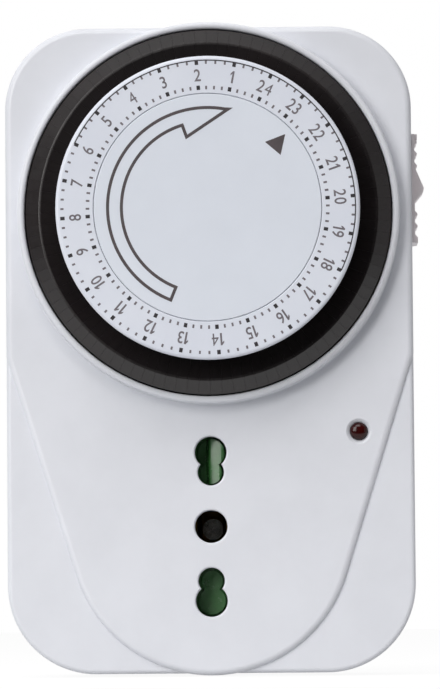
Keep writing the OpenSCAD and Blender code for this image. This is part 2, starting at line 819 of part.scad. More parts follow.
// the common terminal carries the blade, the line terminal the fixed contact
module switch_terminals() stand() color("goldenrod") {
    box(switched_x - tag_t, switched_x, lever_y - tag_half, lever_y + tag_half, tag_low, blade_z - 1);
    translate([blade_x, lever_y, blade_z]) rotate([90, 0, 0]) rod(0.3, -tag_half, tag_half);
    for (s = [-1, 1])
        box(switched_x - tag_t, switched_x, lever_y + s * 1.75 - 0.25, lever_y + s * 1.75 + 0.25,
            blade_z - 1 - bite, blade_z + 0.3);
    box(line_tag_x, line_tag_x + tag_t, lever_y - tag_half, lever_y + tag_half, tag_low, contact_low);
    translate([line_tag_x - 0.4, lever_y]) rod(1.2, contact_low, contact_low + contact_h);
}

module override_slider() stand() color([0.8, 0.79, 0.8]) {
    plate_x0 = half_w + 0.2;
    plate_x1 = half_w + slider_proud;
    // thumb plate
    box(plate_x0, plate_x1, slider_y - slider_h / 2, slider_y + slider_h / 2,
        slider_z - slider_w / 2, slider_z + slider_w / 2);
    // thumb ridge with its steep lower side, and the fine ribs above and below it
    slab(slider_z - slider_w / 2 + 0.5, slider_z + slider_w / 2 - 0.5) {
        translate([plate_x1, slider_y])
            polygon([[-0.2, 4.4], [0.5, 3], [2.05, 0.1], [1.9, -0.5], [0.5, -1.9], [-0.2, -2.4]]);
        for (s = [-1, 1], i = [0 : 2])
            let (y = slider_y + s * (4.3 + 2.1 * i) - 0.3)
                polygon([
                    [plate_x1 - 0.2, y + 0.9], [plate_x1 + 0.55, y + 0.15],
                    [plate_x1 + 0.55, y - 0.15], [plate_x1 - 0.2, y - 0.5]
                ]);
        for (s = [-1, 1])
            translate([plate_x1 - 0.2, slider_y + s * (slider_h / 2 - 0.5) - 0.5]) square([0.8, 1]);
    }
    // neck through the side wall, flange behind it, and the finger that wedges the lever in
    box(inner_x - 0.5, plate_x0 + 0.1, finger_y, finger_y + finger_t, slot_low + move_gap, finger_top);
    box(inner_x - 0.5, inner_x - 0.2, finger_y - 0.2, finger_y + finger_t + 0.8,
        slot_low - 0.5, flange_top);
    x_prism(tab_x, inner_x - 0.4, [
        [finger_y, arm_top + move_gap], [finger_y + finger_t, arm_top + move_gap],
        [finger_y + finger_t, finger_top], [finger_y - 1.4, finger_top],
        [finger_y - 1.4, arm_top + move_gap + 1.4 * tab_slope]
    ]);
}

// ---------- socket ----------

module socket_block() stand() color([0.16, 0.16, 0.18]) {
    rail_y = block_y - rail_t / 2;
    chamber_y = clip_reach + clip_room;
    difference() {
        box(block_x0, block_x1, -block_y, block_y, block_low, block_top);
        for (y = [-clip_y, clip_y])
            box(-chamber_x, chamber_x, y - chamber_y, y + chamber_y, block_low - 1, block_top + 1);
        box(-chamber_x, chamber_x, -chamber_x, chamber_x, block_low - 1, block_top + 1);
    }
    for (y = [-rail_y, rail_y])
        box(block_x0, block_x1, y - rail_t / 2, y + rail_t / 2, block_top - bite, face_in);
    box(spring_wall_x, block_x1, -4, 4, block_top - bite, face_in - move_gap);
}

// a blade with a ramp behind each pair of holes, and a bridge that joins the blades past the earth hole.
// The upper ramp rises in a step, the lower one lies deeper and rises gently.
module shutter() stand() color("seagreen") {
    reach = block_y - rail_t - move_gap;
    near = small_pitch - small_r - 0.6;
    ramp_low = blade_top - bite;
    steep = [
        [large_r, shutter_top], [-0.3, shutter_top - 0.9],
        [-0.8, shutter_top - 2.6], [-large_r, shutter_top - 2.7]
    ];
    gentle = [[large_r, shutter_top - 2.2], [-large_r, shutter_top - 2.7]];
    foot = [[-large_r, ramp_low], [large_r, ramp_low]];
    for (s = [-1, 1]) {
        box(-blade_half, bridge_x1, s > 0 ? near : -reach, s > 0 ? reach : -near, shutter_low, blade_top);
        intersection() {
            slab(ramp_low, shutter_top) lobes(s, -ramp_gap);
            y_prism(-reach, reach, concat(foot, s > 0 ? steep : gentle));
        }
    }
    box(bridge_x0, bridge_x1, -reach, reach, shutter_low, shutter_top);
}

module shutter_spring() stand() color("silver") translate([0, 0, (shutter_low + shutter_top) / 2])
    coil_spring(bridge_x1 + 0.05, spring_wall_x - 0.05, spring_r, spring_wire / 2, spring_turns);

// two sprung leaves on a base, riveted to the pin at rivet_y
module clip(y, reach, rivet_y) {
    difference() {
        box(-clip_half, clip_half, y - reach, y + reach, clip_base_low, block_low);
        translate([0, rivet_y]) rod(rivet_r + fit_gap, clip_base_low - 1, block_low + 1);
    }
    waist = block_low + (clip_mouth - block_low) * 0.7;
    for (s = [-1, 1])
        y_prism(y - reach, y + reach, [
            [s * clip_half, block_low - bite], [s * clip_half, block_low + 3], [s * (1.9 + clip_t), waist],
            [s * clip_half, clip_mouth], [s * (clip_half - clip_t), clip_mouth], [s * 1.9, waist],
            [s * (clip_half - clip_t), block_low + 3], [s * (clip_half - clip_t), block_low - bite]
        ]);
}

module line_clip() stand() color("gold") clip(clip_y, clip_reach, pin_pitch);

module neutral_clip() stand() color("gold") clip(-clip_y, clip_reach, -pin_pitch);

module earth_clip() stand() color("gold") clip(0, chamber_x - clip_room, 0);

// ---------- plug ----------

// bare: length of full-width metal from the tip; inside: how far the core reaches into the case
module plug_pin(bare, inside) {
    neck = bare - pin_len;
    rotate_extrude() polygon([
        [0, -pin_len], [pin_r - pin_tip, -pin_len], [pin_r, pin_tip - pin_len], [pin_r, neck],
        [core_r, neck], [core_r, inside], [rivet_r, inside],
        [rivet_r, inside + rivet_h], [0, inside + rivet_h]
    ]);
}

module line_pin() stand() color("gold")
    translate([0, pin_pitch]) plug_pin(pin_len - sleeve_len, line_bar_low);

module neutral_pin() stand() color("gold")
    translate([0, -pin_pitch]) plug_pin(pin_len - sleeve_len, clip_base_low);

module earth_pin() stand() color("gold") plug_pin(pin_len, clip_base_low);

module pin_sleeves() stand() color([0.15, 0.15, 0.15])
    for (s = [-1, 1])
        translate([0, s * pin_pitch]) tube(sleeve_r, core_r + fit_gap, -sleeve_len, 0);

// from the line pin up to the switch
module line_busbar() stand() color("goldenrod") difference() {
    bar_top = line_bar_low + bar_t;
    bar_y = pin_pitch - bar_w / 2;
    union() {
        box(bar_x0, line_tag_x, bar_y, bar_y + bar_w, line_bar_low, bar_top);
        box(line_tag_x - bar_w, line_tag_x, bar_y, lever_y + tag_half, line_bar_low, bar_top);
        box(line_tag_x - bar_t, line_tag_x, lever_y - tag_half, lever_y + tag_half,
            line_bar_low, tag_low + 2.5);
    }
    translate([0, pin_pitch]) rod(rivet_r + fit_gap, 0, bar_top + 1);
}

// from the switch back to the line clip
module switched_busbar() stand() color("goldenrod") {
    bar_low = clip_base_low - bar_t;
    bar_y = pin_pitch - bar_w / 2;
    box(bar_x0, switched_x + bar_w, bar_y, bar_y + bar_w, bar_low, clip_base_low);
    box(switched_x, switched_x + bar_w, bar_y, lever_y + tag_half, bar_low, clip_base_low);
    box(switched_x, switched_x + bar_t, lever_y - tag_half, lever_y + tag_half, tag_low, clip_base_low);
}

// ---------- indicator ----------

lens_low = face_in - 1.2;
lamp_r = 2;
lamp_low = face_in - 9.5;
lamp_shoulder = lens_low - move_gap - lamp_r;

module indicator_lens() stand() color("darkred") translate([lens_x, lens_y]) rotate_extrude()
    polygon(concat(
        [[0, lens_low], [lens_r + 1.1, lens_low], [lens_r + 1.1, face_in],
         [lens_r, face_in], [lens_r, case_d]],
        [for (a = [15 : 15 : 90]) [lens_r * cos(a), case_d + 0.5 * sin(a)]]
    ));

module neon_lamp() stand() color("orange") translate([lens_x, lens_y]) {
    rod(lamp_r, lamp_low, lamp_shoulder);
    translate([0, 0, lamp_shoulder]) intersection() {
        sphere(lamp_r);
        translate([0, 0, lamp_r]) cube(2 * lamp_r, center = true);
    }
}

lead_x = 0.8;
lead_r = 0.25;
resistor_top = face_in - 15;
resistor_len = 6;
resistor_r = 1.1;

module lamp_resistor() stand() color("burlywood") translate([lens_x - lead_x, lens_y])
    rod(resistor_r, resistor_top - resistor_len, resistor_top);

module lamp_leads() stand() color("orangered") {
    bar_z = clip_base_low - bar_t / 2;
    base_z = clip_base_low + 0.5;
    x = lens_x - lead_x;
    wire([[x, lens_y, lamp_low], [x, lens_y, resistor_top]], lead_r);
    wire([
        [x, lens_y, resistor_top - resistor_len], [x, lens_y, bar_z], [switched_x + bar_w, lens_y, bar_z]
    ], lead_r);
    wire([
        [lens_x + lead_x, lens_y, lamp_low], [lens_x + lead_x, lens_y, base_z],
        [lens_x + lead_x, -clip_y, base_z], [clip_half, -clip_y, base_z]
    ], lead_r);
}

// from the motor to the line busbar and to the neutral clip
module motor_leads() stand() color("steelblue") {
    lead_step = 4;
    lead_z = can_low + 1;
    end_z = clip_base_low + 0.4;
    side_y = motor_at[1] - motor_r;
    line_x = line_tag_x - bar_w / 2;
    neutral_x = motor_at[0] - lead_step;
    wire([
        [motor_at[0], side_y, lead_z], [motor_at[0], side_y - 3, lead_z],
        [line_x, side_y - 3, lead_z], [line_x, side_y - 3, line_bar_low + bar_t]
    ], 0.5);
    wire([
        [neutral_x, motor_at[1] - sqrt(motor_r * motor_r - lead_step * lead_step), lead_z],
        [neutral_x, -clip_y, lead_z],
        [neutral_x, -clip_y, end_z], [-clip_half, -clip_y, end_z]
    ], 0.5);
}

front_cover();
rear_shell();
case_screws();
plate_screws();
mechanism_plate();
dial_post();
dial_wheel();
hour_ring();
pointer_disc();
clutch_pinion();
clutch_spring();
drive_wheel();
drive_axle();
idler_wheel();
idler_axle();
motor_pinion();
reduction_case();
motor_can();
stator_plate();
coil_bobbin();
coil_winding();
rotor_magnet();
rotor_shaft();
trip_lever();
lever_pin();
switch_case();
switch_lid();
switch_plunger();
switch_blade();
switch_terminals();
override_slider();
socket_block();
shutter();
shutter_spring();
line_clip();
neutral_clip();
earth_clip();
line_pin();
neutral_pin();
earth_pin();
pin_sleeves();
line_busbar();
switched_busbar();
indicator_lens();
neon_lamp();
lamp_resistor();
lamp_leads();
motor_leads();
for (k = [0 : group_count - 1])
    tripper_group(k);
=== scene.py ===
"""Dresses the plug-in timer switch: its rounded case, its dial with trippers and print, and every finish."""
import math

import bmesh
import bpy
from mathutils import Matrix, Vector

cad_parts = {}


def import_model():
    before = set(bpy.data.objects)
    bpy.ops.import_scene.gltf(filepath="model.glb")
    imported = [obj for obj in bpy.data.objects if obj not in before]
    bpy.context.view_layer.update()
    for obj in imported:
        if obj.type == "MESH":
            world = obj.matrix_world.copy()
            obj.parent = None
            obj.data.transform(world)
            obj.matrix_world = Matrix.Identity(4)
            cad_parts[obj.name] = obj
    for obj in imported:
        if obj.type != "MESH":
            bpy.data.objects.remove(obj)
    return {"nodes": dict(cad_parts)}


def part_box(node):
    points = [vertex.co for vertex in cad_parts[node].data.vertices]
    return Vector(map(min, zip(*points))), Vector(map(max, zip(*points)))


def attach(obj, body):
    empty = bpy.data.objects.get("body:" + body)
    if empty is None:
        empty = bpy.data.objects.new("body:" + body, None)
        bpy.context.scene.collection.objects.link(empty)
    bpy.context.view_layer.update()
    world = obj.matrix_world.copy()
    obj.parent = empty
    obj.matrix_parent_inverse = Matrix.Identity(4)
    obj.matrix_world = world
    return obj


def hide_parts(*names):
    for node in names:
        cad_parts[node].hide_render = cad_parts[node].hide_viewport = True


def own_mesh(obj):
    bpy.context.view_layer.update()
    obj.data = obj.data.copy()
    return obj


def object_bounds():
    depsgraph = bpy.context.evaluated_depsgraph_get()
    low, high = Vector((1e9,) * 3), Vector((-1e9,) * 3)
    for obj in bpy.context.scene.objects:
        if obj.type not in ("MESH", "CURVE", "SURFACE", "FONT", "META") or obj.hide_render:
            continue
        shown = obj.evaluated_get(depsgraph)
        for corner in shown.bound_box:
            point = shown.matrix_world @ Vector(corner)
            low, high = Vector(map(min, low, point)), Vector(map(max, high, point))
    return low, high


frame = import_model()
cad_low, cad_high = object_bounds()

# ---------- sizes ----------
# In millimetres on the bench: x to the right, y up, depth from the wall to the user. Angles are in degrees.

MM = 0.001
OVERRUN = 1.0  # how far a cutting tool runs past what it cuts


def bench_box(node):
    """Lowest and highest corner of a node as (x, y, depth)."""
    low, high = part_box(node)
    return (low.x / MM, low.z / MM, -high.y / MM), (high.x / MM, high.z / MM, -low.y / MM)


TRIPPER_NODES = [f"trippers_{2 * k:02d}_{2 * k + 2:02d}" for k in range(12)]

cover_low, cover_high = bench_box("front_cover")
shell_low, shell_high = bench_box("rear_shell")
plate_start, plate_end = bench_box("hour_ring")
disc_start, disc_end = bench_box("pointer_disc")
lens_start, lens_end = bench_box("indicator_lens")
pin_start, pin_end = bench_box("earth_pin")

# case
HALF_W = cover_high[0]
CASE_TOP = shell_high[1]
CASE_BOTTOM = shell_low[1]
PAD_BOTTOM = cover_low[1]
REAR_DEPTH = cover_low[2]
COLLAR_TOP = cover_high[2]
COLLAR_RISE = 3.0
FACE = COLLAR_TOP - COLLAR_RISE
PAD_STEP = 0.9
LOW_FACE = FACE - PAD_STEP
FACE_WALL = 2.5
SIDE_WALL = 2.0
BACK_WALL = 2.2
TOP_R = 14.5
BOTTOM_R = 15.5
EDGE_R = 0.85
PAD_EDGE_R = 1.15
SEAM_R = 0.18
PAD_R = 24.8
PAD_SIDE_Y = 30.0
PAD_PROUD = 0.01  # over the slab's sides, so that the two never share a face
PAD_ROOT = 0.5

# how finely round shapes are divided
EDGE_STEPS = 6
FILLET_STEPS = 4
COLLAR_EDGE_STEPS = 5
DOME_STEPS = 10
ARROW_STEPS = 60
PRINTED_ARC_STEPS = 96
ARC_STEPS = 28
PAD_ARC_STEPS = 72
DIAL_STEPS = 256
DISC_STEPS = 192
HOLE_STEPS = 72
PIN_STEPS = 64
SMALL_STEPS = 48

# dial
DIAL_Y = (plate_start[1] + plate_end[1]) / 2
PLATE_R = plate_end[0]
PLATE_TOP = plate_end[2]
PLATE_LOW = plate_start[2]
POINTER_R = disc_end[0]
RING_INNER_R = POINTER_R + 0.08
COLLAR_R = cover_high[1] - DIAL_Y
RING_R = max(bench_box(node)[1][0] for node in TRIPPER_NODES)
CREST = max(bench_box(node)[1][2] for node in TRIPPER_NODES)
STEM_LOW = min(bench_box(node)[0][2] for node in TRIPPER_NODES)
OPENING_R = RING_R + 0.25
COLLAR_EDGE_SHARE = 0.46  # of the collar's width, rounded on either side
COLLAR_FILLET = 0.25
COLLAR_ROOT = 0.2
SKIRT_LOW = 31.9
OPENING_LOW = 33.0
STEM_ROOM_R = 31.5
STEM_ROOM_LOW = 28.2
PLATE_EDGE_WIDTH = 0.62
PLATE_EDGE_DROP = 0.5
PLATE_FOOT_EDGE = 0.15
PLATE_BORE_EDGE = 0.12
POINTER_STEM_R = 2.5
POINTER_BOSS_R = 5.9
POINTER_BOSS = 1.0
POINTER_LIFT = 0.1
DIAL_TURN = 26.0
MIDNIGHT = 90 - DIAL_TURN  # where the dial's 24 stands, anticlockwise from x
HOURS = 24
HOUR_STEP = 360 / HOURS
TRIPPER_STEP = HOUR_STEP / 4
TRIPPERS_PER_PIECE = 8
HEAD_LOW = 38.7
HEAD_IN_R = 25.9
HEAD_EDGE = 40.9
RIDGE_R = 29.5
CREST_HALF = 0.2
HEAD_GAP = 0.012
HEAD_ROUND = 0.012
STEM_IN_R = 27.2
STEM_OUT_R = 31.2
STEM_HALF = 0.5
STEM_ROOT = 0.5

# print on the dial
INK = 0.02
INK_ROOT = 0.05
FIGURE_R = 23.02
FIGURE_HEIGHT = 2.12
FIGURE_NARROW = 0.84
FIGURE_SPACE = 0.13
FIGURE_BOLD = 0.01
ONE = ((0.15, 0), (0.3, 0), (0.3, 1), (0.17, 1), (0, 0.78), (0, 0.62), (0.15, 0.76))
ARC_R = 25.5
ARC_W = 0.2
OUTER_TICK = (24.83, 25.6)
OUTER_FINE_TICK = (24.95, 25.5)
INNER_TICK = (20.45, 21.2)
INNER_FINE_TICK = (20.5, 21.12)
HOUR_HALF = 0.3
FINE_HALF = 0.17
ARC_SPAN = (296.0, 476.0)
ARROW_R = (14.93, 17.33)
ARROW_TAIL = 202.0
ARROW_TIP = (17.42, 372.2)
ARROW_TAPER = 2.0
ARROW_NECK = 343.3
ARROW_BARB = (12.73, 343.8)
ARROW_LINE = 0.27
TRIANGLE = ((10.03, 11.25), (13.55, 12.58), (12.72, 8.93))

# sockets, lens and slider slot
LARGE_PITCH = 13.0
SMALL_PITCH = 9.5
LARGE_R = 2.785
SMALL_R = 2.3
EARTH_R = 2.85
HOLE_RIM = 0.38
SHUTTER_EDGE = 0.08
SHUTTER_MARGIN = 0.5  # the ridge runs this far past the upper holes
SHUTTER_RIDGE = (
    (-0.85, -2.55), (-0.74, -2.35), (-0.62, -1.99), (-0.5, -1.58), (-0.4, -1.25), (-0.28, -1.02),
    (-0.1, -0.9), (0.2, -0.8), (0.6, -0.68), (1.0, -0.56), (1.4, -0.455), (1.8, -0.37), (2.2, -0.32),
    (2.9, -0.3),
)
LENS_X = (lens_start[0] + lens_end[0]) / 2
LENS_Y = (lens_start[1] + lens_end[1]) / 2
LENS_R = 1.5
LENS_BORE = 1.6
LENS_GAP = 0.02
LENS_RIM_SINK = 0.25
LENS_SINK_R = 2.3
LENS_SINK = 0.55
LENS_SINK_EDGE = (0.12, 0.06)
SLOT_Y = (52.9, 61.6)
SLOT_DEPTH = (27.3, 31.0)
SLIDER_PROUD = 0.8  # share of the thumb plate's height over the side
SLIDER_EDGE = 0.14

# screws and pins behind
SCREWS = ((28.0, CASE_TOP - 8.7), (27.0, CASE_BOTTOM + 10.0))
SCREW_WELL_R = 2.9
SCREW_WELL = 3.0
SCREW_WELL_EDGE = 0.3
PIN_TIP = pin_start[2]
PIN_R = pin_end[0]
CORE_R = 1.9
CORE_GAP = 0.02
PIN_ROUND = 1.0
PIN_NECK_EDGE = 0.1
PIN_PITCH = 13.0
SLEEVE_LEN = 10.0


# ---------- shapes ----------

def upright(point):
    """A bench point in millimetres as a place in the frame, in metres."""
    x, y, depth = point
    return x * MM, -depth * MM, y * MM


def solid(name, points, faces, place=upright):
    """A closed mesh with its faces turned outwards."""
    mesh = bpy.data.meshes.new(name)
    mesh.from_pydata([place(p) for p in points], [], faces)
    form = bmesh.new()
    form.from_mesh(mesh)
    bmesh.ops.recalc_face_normals(form, faces=form.faces)
    form.to_mesh(mesh)
    form.free()
    return mesh


def clockwise(radius, degrees):
    """A point at a clockwise angle from the top of the dial."""
    angle = math.radians(degrees)
    return radius * math.sin(angle), DIAL_Y + radius * math.cos(angle)


def bow(cx, cy, radius, start, end, steps):
    """Points of an arc, anticlockwise from start to end in degrees."""
    angles = [math.radians(start + (end - start) * i / steps) for i in range(steps + 1)]
    return [(cx + radius * math.cos(a), cy + radius * math.sin(a)) for a in angles]


def case_outline(inset=0.0):
    """The case seen from the front: four round corners, anticlockwise from the lower right."""
    w = HALF_W - inset
    top = CASE_TOP - inset
    low = CASE_BOTTOM + inset
    rt = TOP_R - inset
    rb = BOTTOM_R - inset
    return (
        bow(w - rb, low + rb, rb, -90, 0, ARC_STEPS)
        + bow(w - rt, top - rt, rt, 0, 90, ARC_STEPS)
        + bow(rt - w, top - rt, rt, 90, 180, ARC_STEPS)
        + bow(rb - w, low + rb, rb, 180, 270, ARC_STEPS)
    )


def pad_outline():
    """The raised pad: the upper case, drawn in by straight lines to a round lower end."""
    middle = PAD_BOTTOM + PAD_R
    rise = PAD_SIDE_Y - middle
    reach = math.hypot(HALF_W, rise)
    touch = math.degrees(math.atan2(rise, HALF_W) - math.acos(PAD_R / reach))
    top = CASE_TOP - TOP_R
    return (
        bow(0, middle, PAD_R, -180 - touch, touch, PAD_ARC_STEPS)
        + [(HALF_W, PAD_SIDE_Y)]
        + bow(HALF_W - TOP_R, top, TOP_R, 0, 90, ARC_STEPS)
        + bow(TOP_R - HALF_W, top, TOP_R, 90, 180, ARC_STEPS)
        + [(-HALF_W, PAD_SIDE_Y)]
    )


def drawn_in(outline, inset, sharpest=0.2):
    """An anticlockwise outline moved inwards, with mitred corners. sharpest keeps mitres from running out."""
    out = []
    for i, (x, y) in enumerate(outline):
        x0, y0 = outline[i - 1]
        x1, y1 = outline[(i + 1) % len(outline)]
        before = Vector((y - y0, x0 - x)).normalized()
        after = Vector((y1 - y, x - x1)).normalized()
        bisector = (before + after).normalized()
        shift = inset / max(bisector.dot(after), sharpest)
        out.append((x - bisector.x * shift, y - bisector.y * shift))
    return out


def rounded_levels(outline, low, high, low_r, high_r):
    """Outlines and depths of a block whose lower and upper edges are rounded."""
    angles = [math.radians(90 * k / EDGE_STEPS) for k in range(EDGE_STEPS + 1)]
    levels = []
    for a in angles:
        levels.append((drawn_in(outline, low_r * (1 - math.sin(a))), low + low_r * (1 - math.cos(a))))
    for a in angles:
        levels.append((drawn_in(outline, high_r * (1 - math.cos(a))), high - high_r * (1 - math.sin(a))))
    return levels


def band(a, b, count):
    """The faces between two closed rows of points, which start at a and b."""
    return [(a + i, a + (i + 1) % count, b + (i + 1) % count, b + i) for i in range(count)]


def lofted(name, levels, place=upright):
    """A closed block through outlines of the same number of points."""
    count = len(levels[0][0])
    points = [(x, y, depth) for outline, depth in levels for x, y in outline]
    faces = []
    for row in range(len(levels) - 1):
        faces += band(row * count, (row + 1) * count, count)
    last = (len(levels) - 1) * count
    faces.append(tuple(range(count - 1, -1, -1)))
    faces.append(tuple(range(last, last + count)))
    return solid(name, points, faces, place)


def turned(name, profile, cx, cy, steps):
    """A solid turned from (radius, depth) pairs. It closes on the axis, or on itself as a ring."""
    points, rows = [], []
    on_axis = 1e-6
    for radius, depth in profile:
        if radius < on_axis:
            rows.append([len(points)] * steps)
            points.append((cx, cy, depth))
        else:
            rows.append(list(range(len(points), len(points) + steps)))
            points += [(x, y, depth) for x, y in bow(cx, cy, radius, 0, 360, steps)[:-1]]
    ring = profile[0][0] > on_axis
    pairs = list(zip(rows, rows[1:] + rows[:1] if ring else rows[1:]))
    faces = []
    for lower, upper in pairs:
        for i in range(steps):
            j = (i + 1) % steps
            corner = [lower[i], lower[j], upper[j], upper[i]]
            face = tuple(dict.fromkeys(corner))
            if len(face) > 2:
                faces.append(face)
    return solid(name, points, faces)


def quarter(radius, depth, size, start, end, steps=EDGE_STEPS):
    """Points of a rounded edge in a turned profile, about (radius, depth)."""
    return bow(radius, depth, size, start, end, steps)


def block(name, x0, x1, y0, y1, d0, d1, place=upright):
    """A box between two places in x, two in y and two in depth."""
    return lofted(name, [([(x0, y0), (x1, y0), (x1, y1), (x0, y1)], d) for d in (d0, d1)], place)


def strip(name, inner_r, outer_r, start, end, low, high):
    """A thin printed arc about the dial's axis, between two clockwise angles."""
    steps = PRINTED_ARC_STEPS
    points = []
    for i in range(steps + 1):
        angle = start + (end - start) * i / steps
        for radius, depth in ((inner_r, low), (outer_r, low), (outer_r, high), (inner_r, high)):
            points.append((*clockwise(radius, angle), depth))
    faces = [(0, 1, 2, 3), tuple(4 * steps + k for k in (3, 2, 1, 0))]
    for i in range(steps):
        a, b = 4 * i, 4 * i + 4
        faces += [(a + k, b + k, b + (k + 1) % 4, a + (k + 1) % 4) for k in range(4)]
    return solid(name, points, faces)


def outline_strip(name, path, half, low, high):
    """A printed line of even width along a closed path."""
    outer, inner = drawn_in(path, -half), drawn_in(path, half)
    count = len(path)
    rings = [(outer, low), (outer, high), (inner, high), (inner, low)]
    points = [(x, y, depth) for ring, depth in rings for x, y in ring]
    faces = []
    for row in range(4):
        faces += band(row * count, (row + 1) % 4 * count, count)
    return solid(name, points, faces)


def settled(obj):
    """The object's mesh with its modifiers worked in."""
    bpy.context.view_layer.update()
    graph = bpy.context.evaluated_depsgraph_get()
    return bpy.data.meshes.new_from_object(obj.evaluated_get(graph))


def shown(name, mesh):
    """A new object in the scene with this mesh, curve, light or camera."""
    obj = bpy.data.objects.new(name, mesh)
    bpy.context.scene.collection.objects.link(obj)
    return obj


def carved(mesh, tools, operation="DIFFERENCE"):
    """The mesh with each tool cut out of it, or joined to it."""
    work = shown("work", mesh)
    helpers = [shown("tool", tool) for tool in tools]
    for helper in helpers:
        cut = work.modifiers.new("cut", "BOOLEAN")
        cut.operation = operation
        cut.solver = "EXACT"
        cut.object = helper
    result = settled(work)
    for obj in [work] + helpers:
        bpy.data.objects.remove(obj)
    return result


def joined(name, meshes):
    """Several closed shells as one mesh."""
    form = bmesh.new()
    for mesh in meshes:
        form.from_mesh(mesh)
    mesh = bpy.data.meshes.new(name)
    form.to_mesh(mesh)
    form.free()
    return mesh


def softened(mesh, width, segments=2, angle=30):
    """The mesh with its sharp edges rounded off. Width is in the mesh's own unit."""
    form = bmesh.new()
    form.from_mesh(mesh)
    sharp = [
        e for e in form.edges
        if len(e.link_faces) == 2 and e.calc_face_angle(0) > math.radians(angle)
    ]
    bmesh.ops.bevel(
        form, geom=sharp, offset=width, segments=segments, affect="EDGES", profile=0.5, clamp_overlap=True
    )
    form.to_mesh(mesh)
    form.free()
    return mesh


def rounded_copy(node, width):
    """A copy of a CAD node, with flat faces made whole and its edges rounded off."""
    mesh = frame["nodes"][node].data.copy()
    weld = 0.002 * MM
    flat = math.radians(1)
    form = bmesh.new()
    form.from_mesh(mesh)
    bmesh.ops.remove_doubles(form, verts=form.verts, dist=weld)
    bmesh.ops.dissolve_limit(form, angle_limit=flat, verts=form.verts, edges=form.edges)
    form.to_mesh(mesh)
    form.free()
    return softened(mesh, width * MM)


def finished(name, mesh, body, material, nodes=(), angle=35):
    """Shades a mesh, gives it its finish, and sets it on its body in place of the nodes it stands for."""
    mesh.materials.clear()
    mesh.materials.append(material)
    mesh.polygons.foreach_set("use_smooth", [True] * len(mesh.polygons))
    mesh.polygons.foreach_set("material_index", [0] * len(mesh.polygons))
    mesh.set_sharp_from_angle(angle=math.radians(angle))
    piece = shown(name, mesh)
    even = piece.modifiers.new("even shading", "WEIGHTED_NORMAL")
    even.keep_sharp = True
    piece.data = settled(piece)
    piece.modifiers.clear()
    piece.data.name = name
    if nodes:
        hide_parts(*nodes)
    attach(piece, body)
    return piece


# ---------- finishes ----------

def srgb(red, green, blue):
    """A colour as it looks on a screen, 0 to 255, as the shader's linear colour."""
    shares = [c / 255 for c in (red, green, blue)]
    return (*[s / 12.92 if s < 0.04045 else ((s + 0.055) / 1.055) ** 2.4 for s in shares], 1.0)


def ranged(tree, value, given, result):
    """The value, brought from one range of numbers to another."""
    scale = tree.nodes.new("ShaderNodeMapRange")
    scale.inputs["From Min"].default_value, scale.inputs["From Max"].default_value = given
    scale.inputs["To Min"].default_value, scale.inputs["To Max"].default_value = result
    tree.links.new(value, scale.inputs["Value"])
    return scale.outputs["Result"]


PATCH_EDGES = (0.35, 0.65)  # where in the noise the darker and the lighter colour are reached
WEAR_EDGES = (0.3, 0.7)  # and the glossiest and the mattest places
WEAR_FINENESS = 3.7  # times as fine as the patches of colour
RELIEF_DEPTH = 0.05 * MM


def surface(
    name, light, dark, rough=(0.35, 0.5), cloud=90.0, grain=3000.0, relief=0.05, stretch=(1, 1, 1), **fixed
):
    """A material whose colour, gloss and fine relief vary over the piece. fixed sets the shader's sockets."""
    material = bpy.data.materials.new(name)
    material.use_nodes = True
    tree = material.node_tree
    shader = tree.nodes["Principled BSDF"]
    place = tree.nodes.new("ShaderNodeTexCoord")
    turn = tree.nodes.new("ShaderNodeMapping")
    turn.inputs["Scale"].default_value = stretch
    tree.links.new(place.outputs["Object"], turn.inputs["Vector"])

    def noise(scale, detail, roughness=0.5):
        """Noise over the piece's own turned and stretched coordinates."""
        node = tree.nodes.new("ShaderNodeTexNoise")
        node.inputs["Scale"].default_value = scale
        node.inputs["Detail"].default_value = detail
        node.inputs["Roughness"].default_value = roughness
        tree.links.new(turn.outputs["Vector"], node.inputs["Vector"])
        return node

    patches = noise(cloud, 4.0, 0.6)
    ramp = tree.nodes.new("ShaderNodeValToRGB")
    for stop, position, colour in zip(ramp.color_ramp.elements, PATCH_EDGES, (dark, light)):
        stop.position = position
        stop.color = colour
    tree.links.new(patches.outputs["Fac"], ramp.inputs["Fac"])
    tree.links.new(ramp.outputs["Color"], shader.inputs["Base Color"])

    wear = noise(cloud * WEAR_FINENESS, 6.0, 0.65)
    tree.links.new(ranged(tree, wear.outputs["Fac"], WEAR_EDGES, rough), shader.inputs["Roughness"])

    texture = noise(grain, 3.0)
    bump = tree.nodes.new("ShaderNodeBump")
    bump.inputs["Strength"].default_value = relief
    bump.inputs["Distance"].default_value = RELIEF_DEPTH
    tree.links.new(texture.outputs["Fac"], bump.inputs["Height"])
    tree.links.new(bump.outputs["Normal"], shader.inputs["Normal"])
    for socket, value in fixed.items():
        shader.inputs[socket.replace("_", " ")].default_value = value
    return material


case_white = surface("case white", srgb(218, 221, 228), srgb(214, 217, 224), (0.36, 0.46), relief=0.08)
dial_white = surface("dial white", srgb(218, 223, 233), srgb(214, 219, 230), (0.3, 0.38), relief=0.03)
disc_white = surface("pointer disc white", srgb(216, 222, 232), srgb(213, 219, 229), (0.34, 0.44))
tripper_black = surface("tripper black", srgb(30, 25, 26), srgb(24, 20, 21), (0.28, 0.36), relief=0.04,
                        Specular_IOR_Level=0.55)
dial_black = surface("dial wheel black", srgb(28, 25, 26), srgb(22, 20, 21), (0.36, 0.48), relief=0.08)
print_black = surface("printing ink", srgb(44, 40, 45), srgb(36, 33, 38), (0.45, 0.6), cloud=400)
arrow_ink = surface("arrow ink", srgb(78, 70, 73), srgb(68, 61, 64), (0.45, 0.6), cloud=400)
print_grey = surface("thin printing ink", srgb(112, 107, 113), srgb(100, 95, 101), (0.45, 0.6), cloud=400)
